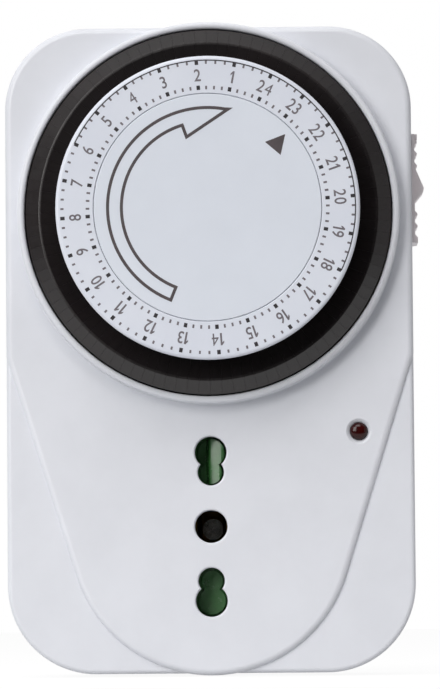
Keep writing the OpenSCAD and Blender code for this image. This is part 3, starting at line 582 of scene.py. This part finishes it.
# Painted lighter than the case white, as painted light: it makes up for the shade the case casts on the
# slider from the left.
slider_grey_painted_lighter = surface("slider grey painted lighter", srgb(232, 226, 229), srgb(224, 218, 221), (0.38, 0.5), relief=0.08)
shutter_green = surface("shutter green", srgb(54, 106, 54), srgb(46, 91, 45), (0.22, 0.29), cloud=220,
                        Specular_IOR_Level=0.8)
lens_red = surface("lens red", srgb(52, 9, 8), srgb(34, 6, 6), (0.12, 0.2), cloud=700, Specular_IOR_Level=0.3)
inner_ivory = surface("natural moulding", srgb(222, 214, 196), srgb(212, 203, 184), (0.42, 0.55), relief=0.1)
acetal = surface("wheel moulding", srgb(232, 230, 222), srgb(222, 220, 211), (0.28, 0.4), relief=0.04)
# Black of the switch parts. On the socket block it also serves as painted shade that darkens the earth hole.
switch_black_with_socket_shade = surface("switch moulding and socket shade", srgb(52, 52, 56), srgb(42, 42, 46), (0.45, 0.6), relief=0.12)
plunger_red = surface("plunger moulding", srgb(150, 44, 36), srgb(134, 36, 30), (0.3, 0.42), cloud=400)
sleeve_black = surface("pin sleeve", srgb(36, 36, 38), srgb(28, 28, 30), (0.4, 0.55), relief=0.1)
bright_steel = surface("bright steel", srgb(208, 208, 206), srgb(178, 178, 176), (0.22, 0.36), cloud=500,
                       stretch=(1, 0.2, 1), Metallic=1.0)
brushed_steel = surface("drawn steel can", srgb(196, 197, 198), srgb(160, 161, 162), (0.3, 0.46), cloud=160,
                        stretch=(1, 0.15, 1), Metallic=1.0)
core_steel = surface("stator steel", srgb(150, 150, 152), srgb(118, 118, 120), (0.4, 0.55), Metallic=1.0)
brass = surface("stamped brass", srgb(222, 186, 110), srgb(196, 156, 84), (0.24, 0.4), cloud=260,
                Metallic=1.0)
# Darker than brass: partly the bronze's own tone, partly painted shade that keeps the deep earth hole dark.
clip_bronze_painted_dark = surface("clip bronze painted dark", srgb(132, 104, 62), srgb(104, 80, 46), (0.36, 0.5), cloud=260,
                      Metallic=1.0)
nickel = surface("plated pin", srgb(226, 222, 214), srgb(204, 199, 190), (0.16, 0.3), cloud=300,
                 stretch=(1, 0.12, 1), Metallic=1.0)
copper = surface("enamelled wire", srgb(206, 116, 66), srgb(160, 78, 42), (0.25, 0.4), cloud=900,
                 stretch=(1, 12, 1), grain=5000, relief=0.5, Metallic=1.0)
ferrite = surface("sintered ferrite", srgb(74, 74, 78), srgb(52, 52, 56), (0.5, 0.7), cloud=900, relief=0.25)
lamp_glass = surface("lamp glass", srgb(246, 228, 214), srgb(240, 216, 198), (0.03, 0.08), cloud=500,
                     relief=0.0, Transmission_Weight=0.85, IOR=1.47)
resistor_tan = surface("resistor lacquer", srgb(208, 176, 132), srgb(196, 162, 116), (0.3, 0.42), cloud=600)
wire_blue = surface("motor lead insulation", srgb(70, 96, 150), srgb(58, 82, 134), (0.35, 0.48), cloud=400)
wire_red = surface("lamp lead insulation", srgb(184, 62, 48), srgb(164, 52, 40), (0.35, 0.48), cloud=400)

NODE_FINISHES = {
    "case_screws": bright_steel, "plate_screws": bright_steel, "mechanism_plate": inner_ivory,
    "dial_post": inner_ivory, "dial_wheel": dial_black, "clutch_pinion": brass, "clutch_spring": bright_steel,
    "drive_wheel": acetal, "drive_axle": bright_steel, "idler_wheel": acetal, "idler_axle": bright_steel,
    "motor_pinion": brass, "reduction_case": brushed_steel, "motor_can": brushed_steel,
    "stator_plate": core_steel, "coil_bobbin": inner_ivory, "coil_winding": copper,
    "rotor_magnet": ferrite, "rotor_shaft": bright_steel, "trip_lever": acetal, "lever_pin": bright_steel,
    "switch_case": switch_black_with_socket_shade, "switch_lid": switch_black_with_socket_shade, "switch_plunger": plunger_red,
    # The socket block's black is partly painted shade for the inside of the earth hole.
    "switch_blade": brass, "switch_terminals": brass, "socket_block": switch_black_with_socket_shade,
    "shutter_spring": bright_steel, "line_clip": clip_bronze_painted_dark, "neutral_clip": clip_bronze_painted_dark,
    "earth_clip": clip_bronze_painted_dark, "pin_sleeves": sleeve_black, "line_busbar": brass,
    "switched_busbar": brass, "neon_lamp": lamp_glass, "lamp_resistor": resistor_tan,
    "lamp_leads": wire_red, "motor_leads": wire_blue,
}
for node, material in NODE_FINISHES.items():
    for holder in frame["nodes"][node].material_slots:
        holder.material = material


# ---------- case ----------

def hole_tool(x, y, radius, rim, low):
    """What a round hole with a rounded rim takes out of the face."""
    edge = quarter(radius + rim, FACE - rim, rim, 180, 90)
    clear = FACE + OVERRUN
    profile = [(0, low), (radius, low)] + edge + [(radius + rim, clear), (0, clear)]
    return turned("hole", profile, x, y, HOLE_STEPS)


def front_cover():
    """The cover without its collar: the slab and the raised pad, hollow behind, with every opening cut."""
    inside = FACE - FACE_WALL
    within = inside - OVERRUN
    inner = case_outline(SIDE_WALL)
    slab = lofted("slab", rounded_levels(case_outline(), REAR_DEPTH, LOW_FACE, SEAM_R, EDGE_R))
    pad_edge = drawn_in(pad_outline(), -PAD_PROUD)
    pad_low = LOW_FACE - EDGE_R - PAD_ROOT
    square_below = rounded_levels(pad_edge, pad_low, FACE, 0.0, PAD_EDGE_R)[EDGE_STEPS:]
    pad = lofted("pad", square_below)
    body = carved(slab, [pad], "UNION")
    hollow = lofted("hollow", [(inner, REAR_DEPTH - OVERRUN), (inner, inside)])
    dial_room = turned("dial room", [
        (0, STEM_ROOM_LOW), (STEM_ROOM_R, STEM_ROOM_LOW), (STEM_ROOM_R, OPENING_LOW),
        (OPENING_R, OPENING_LOW), (OPENING_R, COLLAR_TOP + OVERRUN), (0, COLLAR_TOP + OVERRUN),
    ], 0, DIAL_Y, DISC_STEPS)
    tools = [hollow, dial_room, hole_tool(0, 0, EARTH_R, HOLE_RIM, within)]
    for side in (-1, 1):
        tools.append(hole_tool(0, side * LARGE_PITCH, LARGE_R, HOLE_RIM, within))
        tools.append(hole_tool(0, side * SMALL_PITCH, SMALL_R, HOLE_RIM, within))
    edge_width, edge_drop = LENS_SINK_EDGE
    tools.append(turned("lens bore", [
        (0, within), (LENS_BORE, within), (LENS_BORE, FACE - LENS_SINK),
        (LENS_SINK_R - edge_width, FACE - edge_drop), (LENS_SINK_R, FACE), (LENS_SINK_R, FACE + OVERRUN),
        (0, FACE + OVERRUN),
    ], LENS_X, LENS_Y, SMALL_STEPS))
    tools.append(block("slot", HALF_W - SIDE_WALL - OVERRUN, HALF_W + OVERRUN, *SLOT_Y, *SLOT_DEPTH))
    return carved(body, tools)


def collar():
    """The ring that stands round the trippers, with a rounded top and a skirt below the face."""
    round_r = COLLAR_EDGE_SHARE * (COLLAR_R - OPENING_R)
    top = quarter(COLLAR_R - round_r, COLLAR_TOP - round_r, round_r, 0, 90, COLLAR_EDGE_STEPS)
    top += quarter(OPENING_R + round_r, COLLAR_TOP - round_r, round_r, 90, 180, COLLAR_EDGE_STEPS)
    foot_r = COLLAR_R + COLLAR_FILLET
    foot = quarter(foot_r, FACE + COLLAR_FILLET, COLLAR_FILLET, 270, 180, FILLET_STEPS)
    root = FACE - COLLAR_ROOT
    profile = [(OPENING_R, SKIRT_LOW), (COLLAR_R, SKIRT_LOW), (COLLAR_R, root), (foot_r, root)]
    return turned("collar", profile + foot + top, 0, DIAL_Y, DIAL_STEPS)


def rear_shell():
    """The rear half of the case, with its screw wells and the holes for the pins."""
    body = lofted("shell", rounded_levels(case_outline(), 0.0, REAR_DEPTH, EDGE_R, SEAM_R))
    inner = case_outline(SIDE_WALL)
    tools = [lofted("hollow", [(inner, BACK_WALL), (inner, REAR_DEPTH + OVERRUN)])]
    rim_r = SCREW_WELL_R + SCREW_WELL_EDGE
    rim = quarter(rim_r, SCREW_WELL_EDGE, SCREW_WELL_EDGE, 270, 180, FILLET_STEPS)
    well = [(0, -OVERRUN), (rim_r, -OVERRUN)] + rim + [(SCREW_WELL_R, SCREW_WELL), (0, SCREW_WELL)]
    for x, y in SCREWS:
        for side in (-1, 1):
            tools.append(turned("screw well", well, side * x, y, SMALL_STEPS))
    hole_r, hole_end = CORE_R + CORE_GAP, BACK_WALL + OVERRUN
    hole = [(0, -OVERRUN), (hole_r, -OVERRUN), (hole_r, hole_end), (0, hole_end)]
    for y in (-PIN_PITCH, 0, PIN_PITCH):
        tools.append(turned("pin hole", hole, 0, y, SMALL_STEPS))
    return carved(body, tools)


finished("cover_moulding", joined("cover", [front_cover(), collar()]), "case", case_white,
         ["front_cover"])
finished("rear_moulding", rear_shell(), "case", case_white, ["rear_shell"])


def plug_pin(y, bare, inside):
    """A turned pin with a rounded tip. It is full width for the bare length, and its core runs on inside."""
    tip = quarter(PIN_R - PIN_ROUND, PIN_TIP + PIN_ROUND, PIN_ROUND, 270, 360)
    neck = PIN_TIP + bare
    root = [
        (PIN_R, neck - PIN_NECK_EDGE), (PIN_R - PIN_NECK_EDGE, neck), (CORE_R, neck), (CORE_R, inside),
        (0, inside),
    ]
    return turned("pin", [(0, PIN_TIP)] + tip + root, 0, y, PIN_STEPS)


pin_len = -PIN_TIP
for node, y, bare in (
    ("line_pin", PIN_PITCH, pin_len - SLEEVE_LEN),
    ("neutral_pin", -PIN_PITCH, pin_len - SLEEVE_LEN),
    ("earth_pin", 0.0, pin_len),
):
    finished(node + "_turned", plug_pin(y, bare, bench_box(node)[1][2]), "case", nickel, [node])


# ---------- dial ----------

face_top = PLATE_TOP - INK
ink_low = face_top - INK_ROOT


def hour_ring():
    """The white ring of the hours, with a wide rounded edge."""
    wide, drop, foot, bore = PLATE_EDGE_WIDTH, PLATE_EDGE_DROP, PLATE_FOOT_EDGE, PLATE_BORE_EDGE
    edge = bow(0, 0, 1, 90, 0, EDGE_STEPS)
    top = [(PLATE_R - wide + wide * x, face_top - drop + drop * y) for x, y in edge]
    profile = [
        (RING_INNER_R, PLATE_LOW), (PLATE_R - foot, PLATE_LOW), (PLATE_R, PLATE_LOW + foot),
    ] + top[::-1] + [(RING_INNER_R + bore, face_top), (RING_INNER_R, face_top - bore)]
    return turned("hour ring", profile, 0, DIAL_Y, DIAL_STEPS)


def pointer_disc():
    """The white disc in the middle, with the boss and the stem that hold it still."""
    low, boss_low, disc_low = disc_start[2], PLATE_LOW - POINTER_BOSS, PLATE_LOW + POINTER_LIFT
    profile = [
        (0, low), (POINTER_STEM_R, low), (POINTER_STEM_R, boss_low), (POINTER_BOSS_R, boss_low),
        (POINTER_BOSS_R, disc_low), (POINTER_R, disc_low), (POINTER_R, face_top - PLATE_BORE_EDGE),
        (POINTER_R - PLATE_BORE_EDGE, face_top), (0, face_top),
    ]
    return turned("pointer disc", profile, 0, DIAL_Y, DISC_STEPS)


finished("hour_plate", hour_ring(), "dial", dial_white, ["hour_ring"])
finished("pointer_plate", pointer_disc(), "case", disc_white, ["pointer_disc"])


def as_drawn(point):
    """A bench point left as it is, for a mesh that the node tree stands up later."""
    return point


def round_the_dial():
    """A node tree that repeats a bench-size mesh round the dial's axis and stands it up in the frame."""
    tree = bpy.data.node_groups.new("round the dial", "GeometryNodeTree")
    inputs = (
        ("Piece", "NodeSocketGeometry"), ("Count", "NodeSocketInt"), ("Step", "NodeSocketFloat"),
        ("Start", "NodeSocketFloat"), ("Axis height", "NodeSocketFloat"), ("Finish", "NodeSocketMaterial"),
    )
    for label, kind in inputs:
        tree.interface.new_socket(label, in_out="INPUT", socket_type=kind)
    tree.interface.new_socket("Ring", in_out="OUTPUT", socket_type="NodeSocketGeometry")
    add, link = tree.nodes.new, tree.links.new
    given, result = add("NodeGroupInput"), add("NodeGroupOutput")
    points = add("GeometryNodePoints")
    link(given.outputs["Count"], points.inputs["Count"])
    index = add("GeometryNodeInputIndex")
    angle = add("ShaderNodeMath")
    angle.operation = "MULTIPLY_ADD"
    link(index.outputs["Index"], angle.inputs[0])
    link(given.outputs["Step"], angle.inputs[1])
    link(given.outputs["Start"], angle.inputs[2])
    turn = add("ShaderNodeCombineXYZ")
    link(angle.outputs["Value"], turn.inputs["Z"])
    placed = add("GeometryNodeInstanceOnPoints")
    link(points.outputs[0], placed.inputs["Points"])
    link(given.outputs["Piece"], placed.inputs["Instance"])
    link(turn.outputs["Vector"], placed.inputs["Rotation"])
    real = add("GeometryNodeRealizeInstances")
    link(placed.outputs["Instances"], real.inputs["Geometry"])
    height = add("ShaderNodeCombineXYZ")
    link(given.outputs["Axis height"], height.inputs["Z"])
    stand = add("GeometryNodeTransform")
    link(real.outputs["Geometry"], stand.inputs["Geometry"])
    link(height.outputs["Vector"], stand.inputs["Translation"])
    stand.inputs["Rotation"].default_value = (math.pi / 2, 0, 0)
    stand.inputs["Scale"].default_value = (MM, MM, MM)
    finish = add("GeometryNodeSetMaterial")
    link(stand.outputs["Geometry"], finish.inputs["Geometry"])
    link(given.outputs["Finish"], finish.inputs["Material"])
    link(finish.outputs["Geometry"], result.inputs["Ring"])
    return tree


ring_tree = round_the_dial()
ring_sockets = {
    item.name: item.identifier for item in ring_tree.interface.items_tree if item.in_out == "INPUT"
}


def ringed(mesh, count, step, start, material):
    """Copies of a bench-size mesh round the dial, anticlockwise from start in degrees."""
    holder = shown("ring", mesh)
    repeat = holder.modifiers.new("round the dial", "NODES")
    repeat.node_group = ring_tree
    given = {
        "Count": count, "Step": math.radians(step), "Start": math.radians(start),
        "Axis height": DIAL_Y * MM, "Finish": material,
    }
    for label, value in given.items():
        repeat[ring_sockets[label]] = value
    result = settled(holder)
    bpy.data.objects.remove(holder)
    return result


def tripper():
    """One tripper along x from the dial's axis: a bevelled head over a flat stem."""
    section = [
        (HEAD_IN_R, HEAD_LOW), (RING_R, HEAD_LOW), (RING_R, HEAD_EDGE), (RIDGE_R + CREST_HALF, CREST),
        (RIDGE_R - CREST_HALF, CREST), (HEAD_IN_R, HEAD_EDGE),
    ]
    spread = math.sin(math.radians(TRIPPER_STEP / 2))
    points = []
    for side in (-1, 1):
        points += [(r, side * (r * spread - HEAD_GAP / 2), depth) for r, depth in section]
    count = len(section)
    faces = [tuple(range(count)), tuple(range(2 * count - 1, count - 1, -1))]
    faces += [(i, i + count, (i + 1) % count + count, (i + 1) % count) for i in range(count)]
    head = softened(solid("head", points, faces, as_drawn), HEAD_ROUND, 1)
    stem = block(
        "stem", STEM_IN_R, STEM_OUT_R, -STEM_HALF, STEM_HALF, STEM_LOW, HEAD_LOW + STEM_ROOT, as_drawn
    )
    return joined("tripper", [head, stem])


for k, node in enumerate(TRIPPER_NODES):
    first = MIDNIGHT + (k * TRIPPERS_PER_PIECE + 0.5) * TRIPPER_STEP
    mesh = ringed(tripper(), TRIPPERS_PER_PIECE, TRIPPER_STEP, first, tripper_black)
    hours = node.removeprefix("trippers_")
    finished("heads_" + hours, mesh, "two_hours_" + hours, tripper_black, [node], angle=20)


# ---------- print ----------

def hour_ticks():
    """The long black ticks of one hour, in both rows."""
    ticks = [block("tick", *row, -HOUR_HALF, HOUR_HALF, ink_low, PLATE_TOP, as_drawn)
             for row in (OUTER_TICK, INNER_TICK)]
    return joined("hour tick", ticks)


def quarter_ticks():
    """The three fine ticks between two hours, in both rows."""
    ticks = []
    for k in (1, 2, 3):
        turn = Matrix.Rotation(math.radians(k * TRIPPER_STEP), 4, "Z")
        for row in (OUTER_FINE_TICK, INNER_FINE_TICK):
            tick = block("tick", *row, -FINE_HALF, FINE_HALF, ink_low, PLATE_TOP, as_drawn)
            tick.transform(turn)
            ticks.append(tick)
    return joined("quarter ticks", ticks)


def digit(mark):
    """A digit one unit high, with its left edge on the axis and its depth from 0 to 1, and its width.

    A four stays light, because its small triangle would close up.
    """
    if mark == "1":
        return lofted("one", [(list(ONE), 0.0), (list(ONE), 1.0)], as_drawn), ONE[1][0]
    curve = bpy.data.curves.new("digit", "FONT")
    curve.body = mark
    curve.extrude = 0.01
    curve.offset = 0.0 if mark == "4" else FIGURE_BOLD
    curve.resolution_u = 4
    holder = shown("digit", curve)
    mesh = settled(holder)
    bpy.data.objects.remove(holder)
    across = [v.co.x for v in mesh.vertices]
    up = [v.co.y for v in mesh.vertices]
    scale = 1 / (max(up) - min(up))
    narrow = scale * FIGURE_NARROW
    for v in mesh.vertices:
        v.co = (v.co.x - min(across)) * narrow, (v.co.y - min(up)) * scale, float(v.co.z > 0)
    return mesh, (max(across) - min(across)) * narrow


def figure(hour):
    """An hour's digits as thin raised print, with their tops to the dial's edge."""
    digits, width = [], -FIGURE_SPACE
    for mark in str(hour):
        mesh, mark_width = digit(mark)
        mesh.transform(Matrix.Translation((width + FIGURE_SPACE, 0, 0)))
        digits.append(mesh)
        width += mark_width + FIGURE_SPACE
    angle = DIAL_TURN + HOUR_STEP * (HOURS - hour)
    cx, cy = clockwise(FIGURE_R, angle)
    turn = math.radians(angle)
    mesh = joined("figure", digits)
    for v in mesh.vertices:
        x, y = (v.co.x - width / 2) * FIGURE_HEIGHT, (v.co.y - 0.5) * FIGURE_HEIGHT
        depth = PLATE_TOP if v.co.z > 0.5 else ink_low
        v.co = upright((cx + x * math.cos(turn) + y * math.sin(turn),
                        cy - x * math.sin(turn) + y * math.cos(turn), depth))
    return mesh


hour_marks = ringed(hour_ticks(), HOURS, HOUR_STEP, MIDNIGHT, print_black)
quarter_marks = ringed(quarter_ticks(), HOURS, HOUR_STEP, MIDNIGHT, print_grey)
figures = joined("figures", [figure(hour) for hour in range(1, HOURS + 1)])
day_arc = strip("arc", ARC_R, ARC_R + ARC_W, *ARC_SPAN, ink_low, PLATE_TOP)
finished("hour_marks", joined("marks", [hour_marks, day_arc]), "dial", print_black)
finished("quarter_marks", quarter_marks, "dial", print_grey)
finished("hour_figures", figures, "dial", print_grey)


def arrow():
    """The clockwise arrow on the pointer disc, drawn as an outline."""
    steps = ARROW_STEPS
    outer_sweep = ARROW_TIP[1] - ARROW_TAPER - ARROW_TAIL
    inner_sweep = ARROW_NECK - ARROW_TAIL
    outer = [clockwise(ARROW_R[1], ARROW_TAIL + outer_sweep * i / steps) for i in range(steps + 1)]
    inner = [clockwise(ARROW_R[0], ARROW_NECK - inner_sweep * i / steps) for i in range(steps + 1)]
    path = outer + [clockwise(*ARROW_TIP), clockwise(*ARROW_BARB)] + inner
    return outline_strip("arrow", path, ARROW_LINE, ink_low, PLATE_TOP)


pointer = lofted("triangle", [
    ([(x, DIAL_Y + y) for x, y in TRIANGLE], depth) for depth in (ink_low, PLATE_TOP)
])
finished("arrow_and_pointer", joined("arrow", [arrow(), pointer]), "case", arrow_ink)


# ---------- slider, shutter, lens ----------

def slider():
    """The slider with its thumb plate drawn in a little towards the side wall."""
    mesh = rounded_copy("override_slider", SLIDER_EDGE)
    side = HALF_W * MM
    for v in mesh.vertices:
        if v.co.x > side:
            v.co.x = side + (v.co.x - side) * SLIDER_PROUD
    return mesh


finished("slider_moulding", slider(), "slider", slider_grey_painted_lighter, ["override_slider"])


def along_y(point):
    """A section drawn in x and depth and lofted along y, as a place in the frame."""
    x, depth, y = point
    return upright((x, y, depth))


def shutter():
    """The shutter with the ramp behind the upper holes rounded to a ridge."""
    top = bench_box("shutter")[1][2]
    low, high = SMALL_PITCH - SMALL_R - SHUTTER_MARGIN, LARGE_PITCH + LARGE_R + SHUTTER_MARGIN
    section = [(x, top + depth) for x, depth in SHUTTER_RIDGE]
    section += [(SHUTTER_RIDGE[end][0], top + OVERRUN) for end in (-1, 0)]
    spare = lofted("over the ridge", [(section, y) for y in (low, high)], along_y)
    return carved(rounded_copy("shutter", SHUTTER_EDGE), [spare])


finished("shutter_moulding", shutter(), "safety_shutter", shutter_green, ["shutter"])


def shutter_coil():
    """The shutter's spring, which shortens towards its fixed end as the shutter opens."""
    mesh = frame["nodes"]["shutter_spring"].data.copy()
    coil = finished("shutter_coil", mesh, "case", bright_steel, ["shutter_spring"])
    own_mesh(coil)


shutter_coil()


def lens():
    """The indicator's red lens: a flat dome in the face, with a flange behind it."""
    low, top = lens_start[2], lens_end[2]
    flange = lens_end[0] - LENS_X
    flange_top = FACE - FACE_WALL - LENS_GAP
    rim = FACE - LENS_RIM_SINK
    angles = [math.radians(90 * k / DOME_STEPS) for k in range(DOME_STEPS)]
    dome = [(LENS_R * math.cos(a), rim + (top - rim) * math.sin(a)) for a in angles]
    profile = [(0, low), (flange, low), (flange, flange_top), (LENS_R, flange_top)] + dome + [(0, top)]
    return turned("lens", profile, LENS_X, LENS_Y, SMALL_STEPS)


finished("lens_moulding", lens(), "case", lens_red, ["indicator_lens"])


# ---------- studio, in metres ----------

SUBJECT = (0, -0.02, 0.03)
SKY = (-0.2, 0.0, 0.98)
SKY_COSINES, SKY_STRENGTHS = (-0.3, 1.0), (0.35, 1.2)
BEHIND = (0.0, 0.8, 0.6)
BEHIND_COSINES, BEHIND_STRENGTHS = (-0.2, 0.45), (0.02, 1.0)
FLOOR_SIDE = 3.0
FLOOR_FRONT = -0.16
FLOOR_DROP = 0.2 * MM
FLOOR_GREY = 0.6
FLOOR_ROUGHNESS = 0.9
FLOOR_GLOW = 1.08
FLOOR_GLOW_SHARE = 0.85
CAMERA_PLACE = (0.01103, -0.8136, -0.0162)
CAMERA_PAN, CAMERA_TILT, CAMERA_ROLL = -0.01189, 0.06193, -0.0083  # in radians
CAMERA_LENS = 231.43  # in millimetres, like the sensor
CAMERA_SENSOR = 36
CAMERA_REACH = 20


def lamp(name, place, aim, size, power, colour):
    """A rectangular lamp that looks at a place."""
    data = bpy.data.lights.new(name, "AREA")
    data.shape = "RECTANGLE"
    data.size, data.size_y = size
    data.energy = power
    data.color = colour
    obj = shown(name, data)
    obj.location = place
    obj.rotation_mode = "QUATERNION"
    obj.rotation_quaternion = (Vector(aim) - Vector(place)).to_track_quat("-Z", "Y")


lamp("front left softbox", (-0.62, -0.95, 0.4), SUBJECT, (0.6, 0.7), 8.7, (1.0, 0.985, 0.97))
lamp("top softbox", (-0.1, -0.6, 0.68), SUBJECT, (0.6, 0.35), 3.1, (1.0, 0.97, 0.96))
lamp("right fill", (0.85, -0.5, 0.15), SUBJECT, (0.5, 0.5), 0.45, (1.0, 0.97, 0.97))


def mix_of(tree, share, first, second):
    """The second shader by this share, and the first for the rest."""
    node = tree.nodes.new("ShaderNodeMixShader")
    tree.links.new(share, node.inputs["Fac"])
    tree.links.new(first, node.inputs[1])
    tree.links.new(second, node.inputs[2])
    return node.outputs["Shader"]


def seen_directly(tree, *rays):
    """1 for these kinds of ray, and 0 for the rest."""
    path = tree.nodes.new("ShaderNodeLightPath")
    total = path.outputs[rays[0]]
    for ray in rays[1:]:
        either = tree.nodes.new("ShaderNodeMath")
        either.operation = "MAXIMUM"
        tree.links.new(total, either.inputs[0])
        tree.links.new(path.outputs[ray], either.inputs[1])
        total = either.outputs["Value"]
    return total


def world():
    """White to the camera and through glass. Its light is strongest above and behind the object."""
    room = bpy.data.worlds.new("studio")
    bpy.context.scene.world = room
    room.use_nodes = True
    tree = room.node_tree
    tree.nodes.clear()
    place = tree.nodes.new("ShaderNodeTexCoord")

    def share_along(direction, cosines, strengths):
        """A strength that changes with how far a ray points along the direction."""
        along = tree.nodes.new("ShaderNodeVectorMath")
        along.operation = "DOT_PRODUCT"
        along.inputs[1].default_value = direction
        tree.links.new(place.outputs["Generated"], along.inputs[0])
        return ranged(tree, along.outputs["Value"], cosines, strengths)

    strength = tree.nodes.new("ShaderNodeMath")
    strength.operation = "MULTIPLY"
    tree.links.new(share_along(SKY, SKY_COSINES, SKY_STRENGTHS), strength.inputs[0])
    tree.links.new(share_along(BEHIND, BEHIND_COSINES, BEHIND_STRENGTHS), strength.inputs[1])
    soft = tree.nodes.new("ShaderNodeBackground")
    tree.links.new(strength.outputs["Value"], soft.inputs["Strength"])
    white = tree.nodes.new("ShaderNodeBackground")
    white.inputs["Color"].default_value = (1, 1, 1, 1)
    output = tree.nodes.new("ShaderNodeOutputWorld")
    share = seen_directly(tree, "Is Camera Ray", "Is Transmission Ray")
    tree.links.new(mix_of(tree, share, soft.outputs[0], white.outputs[0]), output.inputs["Surface"])


def floor():
    """A pale floor under the object. To the camera it is white, with the object's soft shadow on it."""
    material = bpy.data.materials.new("pale floor")
    material.use_nodes = True
    tree = material.node_tree
    matt = tree.nodes["Principled BSDF"]
    matt.inputs["Base Color"].default_value = (FLOOR_GREY, FLOOR_GREY, FLOOR_GREY, 1)
    matt.inputs["Roughness"].default_value = FLOOR_ROUGHNESS
    glow = tree.nodes.new("ShaderNodeEmission")
    glow.inputs["Color"].default_value = (1, 1, 1, 1)
    glow.inputs["Strength"].default_value = FLOOR_GLOW
    share = tree.nodes.new("ShaderNodeMath")
    share.operation = "MULTIPLY"
    share.inputs[1].default_value = FLOOR_GLOW_SHARE
    tree.links.new(seen_directly(tree, "Is Camera Ray", "Is Glossy Ray"), share.inputs[0])
    surface_out = mix_of(tree, share.outputs["Value"], matt.outputs["BSDF"], glow.outputs["Emission"])
    tree.links.new(surface_out, tree.nodes["Material Output"].inputs["Surface"])
    near, far, level = FLOOR_FRONT, FLOOR_SIDE, cad_low.z - FLOOR_DROP
    corners = [(-far, near, level), (far, near, level), (far, far, level), (-far, far, level)]
    mesh = bpy.data.meshes.new("floor")
    mesh.from_pydata(corners, [], [(0, 1, 2, 3)])
    mesh.materials.append(material)
    shown("floor", mesh)


def camera():
    """A long lens in front of the socket, looking slightly up."""
    pan, tilt, roll = CAMERA_PAN, CAMERA_TILT, CAMERA_ROLL
    ahead = Vector((math.sin(pan) * math.cos(tilt), math.cos(pan) * math.cos(tilt), math.sin(tilt)))
    level = Vector((math.cos(pan), -math.sin(pan), 0))
    over = level.cross(ahead)
    right = math.cos(roll) * level + math.sin(roll) * over
    up = math.cos(roll) * over - math.sin(roll) * level
    data = bpy.data.cameras.new("camera")
    data.lens = CAMERA_LENS
    data.sensor_width = CAMERA_SENSOR
    data.clip_end = CAMERA_REACH
    obj = shown("camera", data)
    turn = Matrix((right, up, -ahead)).transposed().to_4x4()
    obj.matrix_world = Matrix.Translation(CAMERA_PLACE) @ turn
    bpy.context.scene.camera = obj


world()
floor()
camera()
bpy.context.scene.view_settings.view_transform = "Standard"
